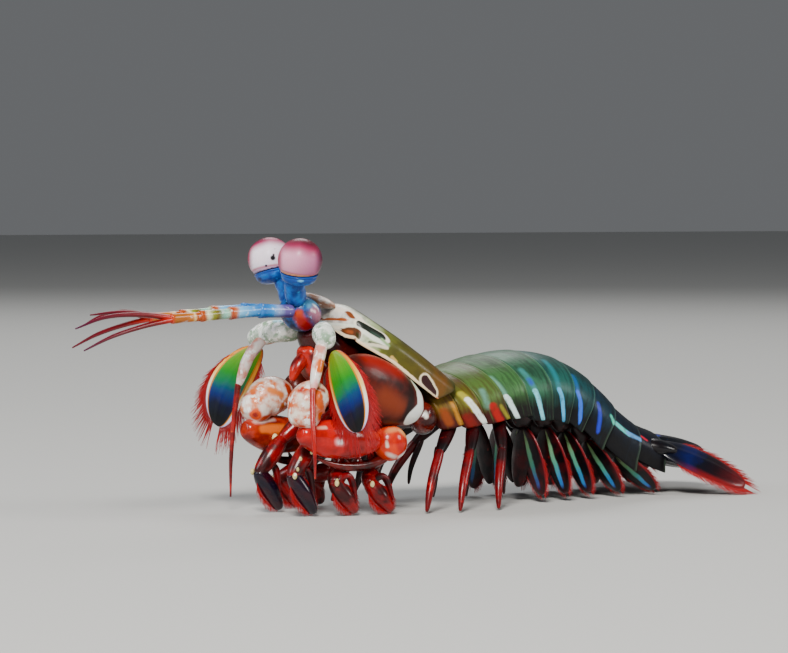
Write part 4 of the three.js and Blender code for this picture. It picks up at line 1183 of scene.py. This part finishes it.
# Slender walking legs
legs = [
    {"root": (8.6, 6.2, 15.6), "knee": (1.6, 11.4, 10.8), "foot": (-3.4, 14, 0.2)},
    {"root": (13.6, 6.6, 16.6), "knee": (7.6, 12.6, 10.8), "foot": (2.6, 16, 0.2)},
    {"root": (19, 6.6, 17.2), "knee": (15, 12.8, 10.6), "foot": (11, 16.6, 0.2)},
]


def leg(number, stops, side, sign):
    root, knee, foot = [Vector(flipped(stops[k], sign)) for k in ("root", "knee", "foot")]
    ankle = Vector((mix(knee.x, foot.x, 0.55) - 0.8, mix(knee.y, foot.y, 0.7), mix(knee.z, foot.z, 0.55)))
    branch = [knee + Vector((0.6, -1.6 * sign, 0.8)), ankle + Vector((2.6, -2 * sign, 1)),
              Vector((foot.x + 3.4, foot.y - 2.6 * sign, 2.6))]
    foot.z = 0.9
    pieces = [
        limb("upper", [root, middle(root, knee), knee], evenly(1.5, 1.3, 1.1), looks["maroon"], past=0.6,
             upright=False),
        limb("lower", [knee, ankle, foot], evenly(1.15, 0.95, 0.8, 0.55), looks["crimson"], past=0.6,
             upright=False),
        limb("branch", branch, evenly(0.7, 0.6, 0.4), looks["maroon"], upright=False)]
    handOver(pieces, f"leg_{number}_{side}")


def lowerLimbs(side, sign):
    for number in (1, 2, 3):
        grasper(number, graspers[number - 1], side, sign)
        leg(number, legs[number - 1], side, sign)


onBothSides(lowerLimbs)
print("legs made")


# Swimming limbs: fringed leaves under the abdomen, from the front ones to the hind ones
paddles = {
    "trail": (2.2, 3, 4.4, 7, 9.5), "low": (1.4, 1.4, 1.3, 1.2, 1.1), "stripe": (0.35, 0.95, 0.95, 0.9, 0.8),
    "halfWidths": (3.1, 2.4), "spread": (10.2, 4), "facing": (1, 0, 0.25),
}


def paddleLook(number):
    look = Look("paddle %d" % number, 0.36, 0.15, soft=0.03)
    place = look.place()
    t, across, _ = look.split(look.flat())
    drift = look.drift(place, 400.0, 0.3)
    # A near-black body with dark red clouds: partly its own colour, partly painted shade under the abdomen
    tint = look.blend(look.step(look.noise(place, 260.0, 4), 0.45, 0.62), "080306", "38040a")
    stripe = look.ramp(look.plus(t, drift), [
        (0.0, "a8b46c"), (0.3, "86c48c"), (0.55, "58c0a8"), (0.72, "3498d8"), (1.0, "2040d8")])
    mark = look.times(look.band(look.plus(across, drift), -0.24, 0.14, 0.07), look.band(t, 0.06, 0.88, 0.05))
    tint = look.blend(look.times(mark, paddles["stripe"][number - 1]), tint, stripe)
    tint = look.blend(look.step(look.sum("ABSOLUTE", across), 0.86, 0.94), tint, "6c0812")
    return look.done(tint, look.bump(look.noise(look.flat(), 1.0, 2, stretch=(2.0, 24.0, 1.0)), 0.2, 0.00015))


for number in (1, 2, 3, 4, 5):
    looks["paddle%d" % number] = paddleLook(number)


def pleopod(number, side, sign):
    ring = "abdomen_%d" % number
    length, _, deep = rings[ring]
    top = backPlace(ringStart[ring] + length * 0.5, sign * 6.6, deep * 0.69)
    trail, low = paddles["trail"][number - 1], paddles["low"][number - 1]
    shoulder = top.lerp(Vector((top.x + trail, top.y, low)), 0.28)
    outerHalf, innerHalf = paddles["halfWidths"]
    outerY, innerY = paddles["spread"]
    outer = bladeShape(shoulder, (top.x + trail, sign * outerY, low), outerHalf, 0.6, paddles["facing"])
    inner = bladeShape(shoulder, (top.x + trail - 0.8, sign * innerY, low + 1.2), innerHalf, 0.6,
                       paddles["facing"])
    pieces = [
        limb("base", [top + Vector((0, 0, 0.6)), middle(top, shoulder), shoulder],
             [(1.3, 2.6), (1.5, 3), (1.1, 2.2)], looks["maroon"], upright=False),
        blade("outer", outer, looks["paddle%d" % number], 20), blade("inner", inner, looks["maroon"], 20),
        bristles("fringe", outer, looks["bristle"], 90, 1.1, 1.1, start=0.5, width=0.1)]
    handOver(pieces, f"pleopod_{number}_{side}")


def swimmingLimbs(side, sign):
    for number in (1, 2, 3, 4, 5):
        pleopod(number, side, sign)


onBothSides(swimmingLimbs)
print("swimming limbs made")


# Tail fan
looks["navy"] = skin("navy tail plate", "03060f", "0a0206", "08184c", 0.3, 0.35, 240.0, 500.0, 0.72, marks=[
    ("1838c8", 0.6, 0.5, (60.5, 3.4, 10.4), (62, 3.2, 10.2)), ("0c2890", 0.9, 0.7, (66, 8, 8), (69, 8, 7)),
    ("3c0310", 1.6, 1.2, (70, 6, 6), (74, 4, 5))])


# Leaves of the tail fan: navy glowing at the middle, maroon outwards, with a red margin
def fanLook():
    look = Look("tail fan leaf", 0.3, 0.35, soft=0.03)
    place = look.place()
    t, across, _ = look.split(look.flat())
    drift = look.drift(place, 320.0, 0.3)
    tint = look.ramp(look.plus(t, drift), [
        (0.0, "02040a"), (0.25, "03061a"), (0.4, "060f48"), (0.52, "040614"), (0.68, "160208"),
        (0.85, "3c030a"), (1.0, "74060c")])
    edge = look.plus(look.sum("ABSOLUTE", across), look.times(drift, 0.4))
    tint = look.blend(look.times(look.step(edge, 0.66, 0.98), look.step(t, 0.2, 0.7)), tint, "78060c")
    ribs = look.noise(look.flat(), 1.0, 2, stretch=(2.0, 26.0, 1.0))
    return look.done(tint, look.bump(ribs, 0.25, 0.00015))


looks["fan"] = fanLook()
plate = {"length": 17, "slope": 0.22, "halfWidth": 8.2, "halfThickness": 2.3, "teeth": 6, "toothSpread": 0.85,
         "keels": (-0.62, -0.4, -0.2, 0.0, 0.2, 0.4, 0.62), "keelRise": 0.7}


def telson():
    root = backPlace(reached, 0, 1.5)
    length, halfWidth = plate["length"], plate["halfWidth"]
    shape = bladeShape((root.x - 0.6, 0, root.z - 1.6),
                       (root.x + length, 0, root.z - 1.6 - length * plate["slope"]),
                       halfWidth, plate["halfThickness"], (0, 0, 1))
    pieces = [blade("plate", shape, looks["navy"], 48, ribs=plate["keels"], rise=plate["keelRise"])]
    for i in range(plate["teeth"]):
        turn = mix(-plate["toothSpread"], plate["toothSpread"], i / (plate["teeth"] - 1))
        t = mix(0.96, 0.72, abs(turn))
        side = math.copysign(1, turn)
        outwards = halfWidth * widest(shape, t) * 0.8
        edge = onBlade(shape, t - 0.06, side * outwards, 0)
        tip = onBlade(shape, t + 0.16, side * (outwards + 0.1), 0)
        pieces.append(spine("tooth", edge, tip, 1.2, looks["navy"], 12))
    handOver(pieces, "telson")


telson()


# Each leaf of a uropod: how far it trails, its tip's y and z, half widths, facing, bow and fringe
leaves = {
    "outer": {"trail": 15.8, "y": 18.4, "z": 1.4, "halves": (3.7, 0.85), "outward": 1.1, "bow": 0.6,
              "fringe": (260, 2.3, 3.4), "start": 0.26},
    "inner": {"trail": 18.4, "y": 12.2, "z": 3, "halves": (2.9, 0.8), "outward": 0.6, "bow": 1,
              "fringe": (200, 1.9, 3.2), "start": 0.5},
}


def uropod(side, sign):
    hip = backPlace(reached - 2.4, sign * 8.6, 4)
    start = hip + Vector((-2.2, -sign * 1.2, 0.4))
    stop = hip + Vector((4.6, sign * 2.4, -1.1))
    pieces = [limb("base", [start, middle(start, stop), stop], [(2, 1.5), (2.6, 1.7), (2, 1.2)],
                   looks["navy"], sides=20)]
    fringes = []
    for name, leaf in leaves.items():
        shape = bladeShape((hip.x + 1, hip.y, hip.z), (hip.x + leaf["trail"], sign * leaf["y"], leaf["z"]),
                           *leaf["halves"], (0.1, sign * leaf["outward"], 1), (0, 0, leaf["bow"]))
        pieces.append(blade(name, shape, looks["fan"], 28, ribs=(0.0,), rise=0.3))
        fringes.append(bristles("fringe", shape, looks["bristle"], *leaf["fringe"], start=leaf["start"],
                                width=0.13, ripple=0.2))
    pieces += fringes
    handOver(pieces, "uropod_" + side)


onBothSides(uropod)
print("tail fan made")


# Studio floor and light: each lamp's place, size, power and tint
studioLamps = {
    "key": ((-0.75, -0.8, 0.85), 0.4, 26, (1, 0.97, 0.93)),
    "fill": ((-1.0, 0.35, 0.6), 0.6, 6, (0.9, 0.95, 1)),
    "back": ((0.6, 0.8, 0.9), 0.6, 5, (1, 1, 1)), "side": ((0.75, -0.8, 0.5), 0.4, 5, (1, 0.98, 0.95)),
}
sky = {"tint": (0.85, 0.88, 0.92, 1), "strength": 0.16}


def studio():
    selectOnly(bpy.context.scene.camera)
    bpy.ops.mesh.primitive_plane_add(size=12, location=(0, 0, 0))
    floor = bpy.context.object
    floor.name = "floor"
    paper = Look("pale paper", 0.75, 0.0)
    coated(floor, paper.done("c9c9c6"))
    for name, (place, size, power, tint) in studioLamps.items():
        light = bpy.data.lights.new(name, "AREA")
        light.shape, light.size, light.energy, light.color = "DISK", size, power, tint
        lamp = bpy.data.objects.new(name, light)
        lamp.location = place
        lamp.rotation_euler = (Vector(place) - Vector((0, 0, 0.02))).to_track_quat("Z", "Y").to_euler()
        bpy.context.collection.objects.link(lamp)
    world = bpy.data.worlds.new("soft sky")
    world.use_nodes = True
    backdrop = world.node_tree.nodes["Background"]
    backdrop.inputs["Color"].default_value = sky["tint"]
    backdrop.inputs["Strength"].default_value = sky["strength"]
    bpy.context.scene.world = world


studio()
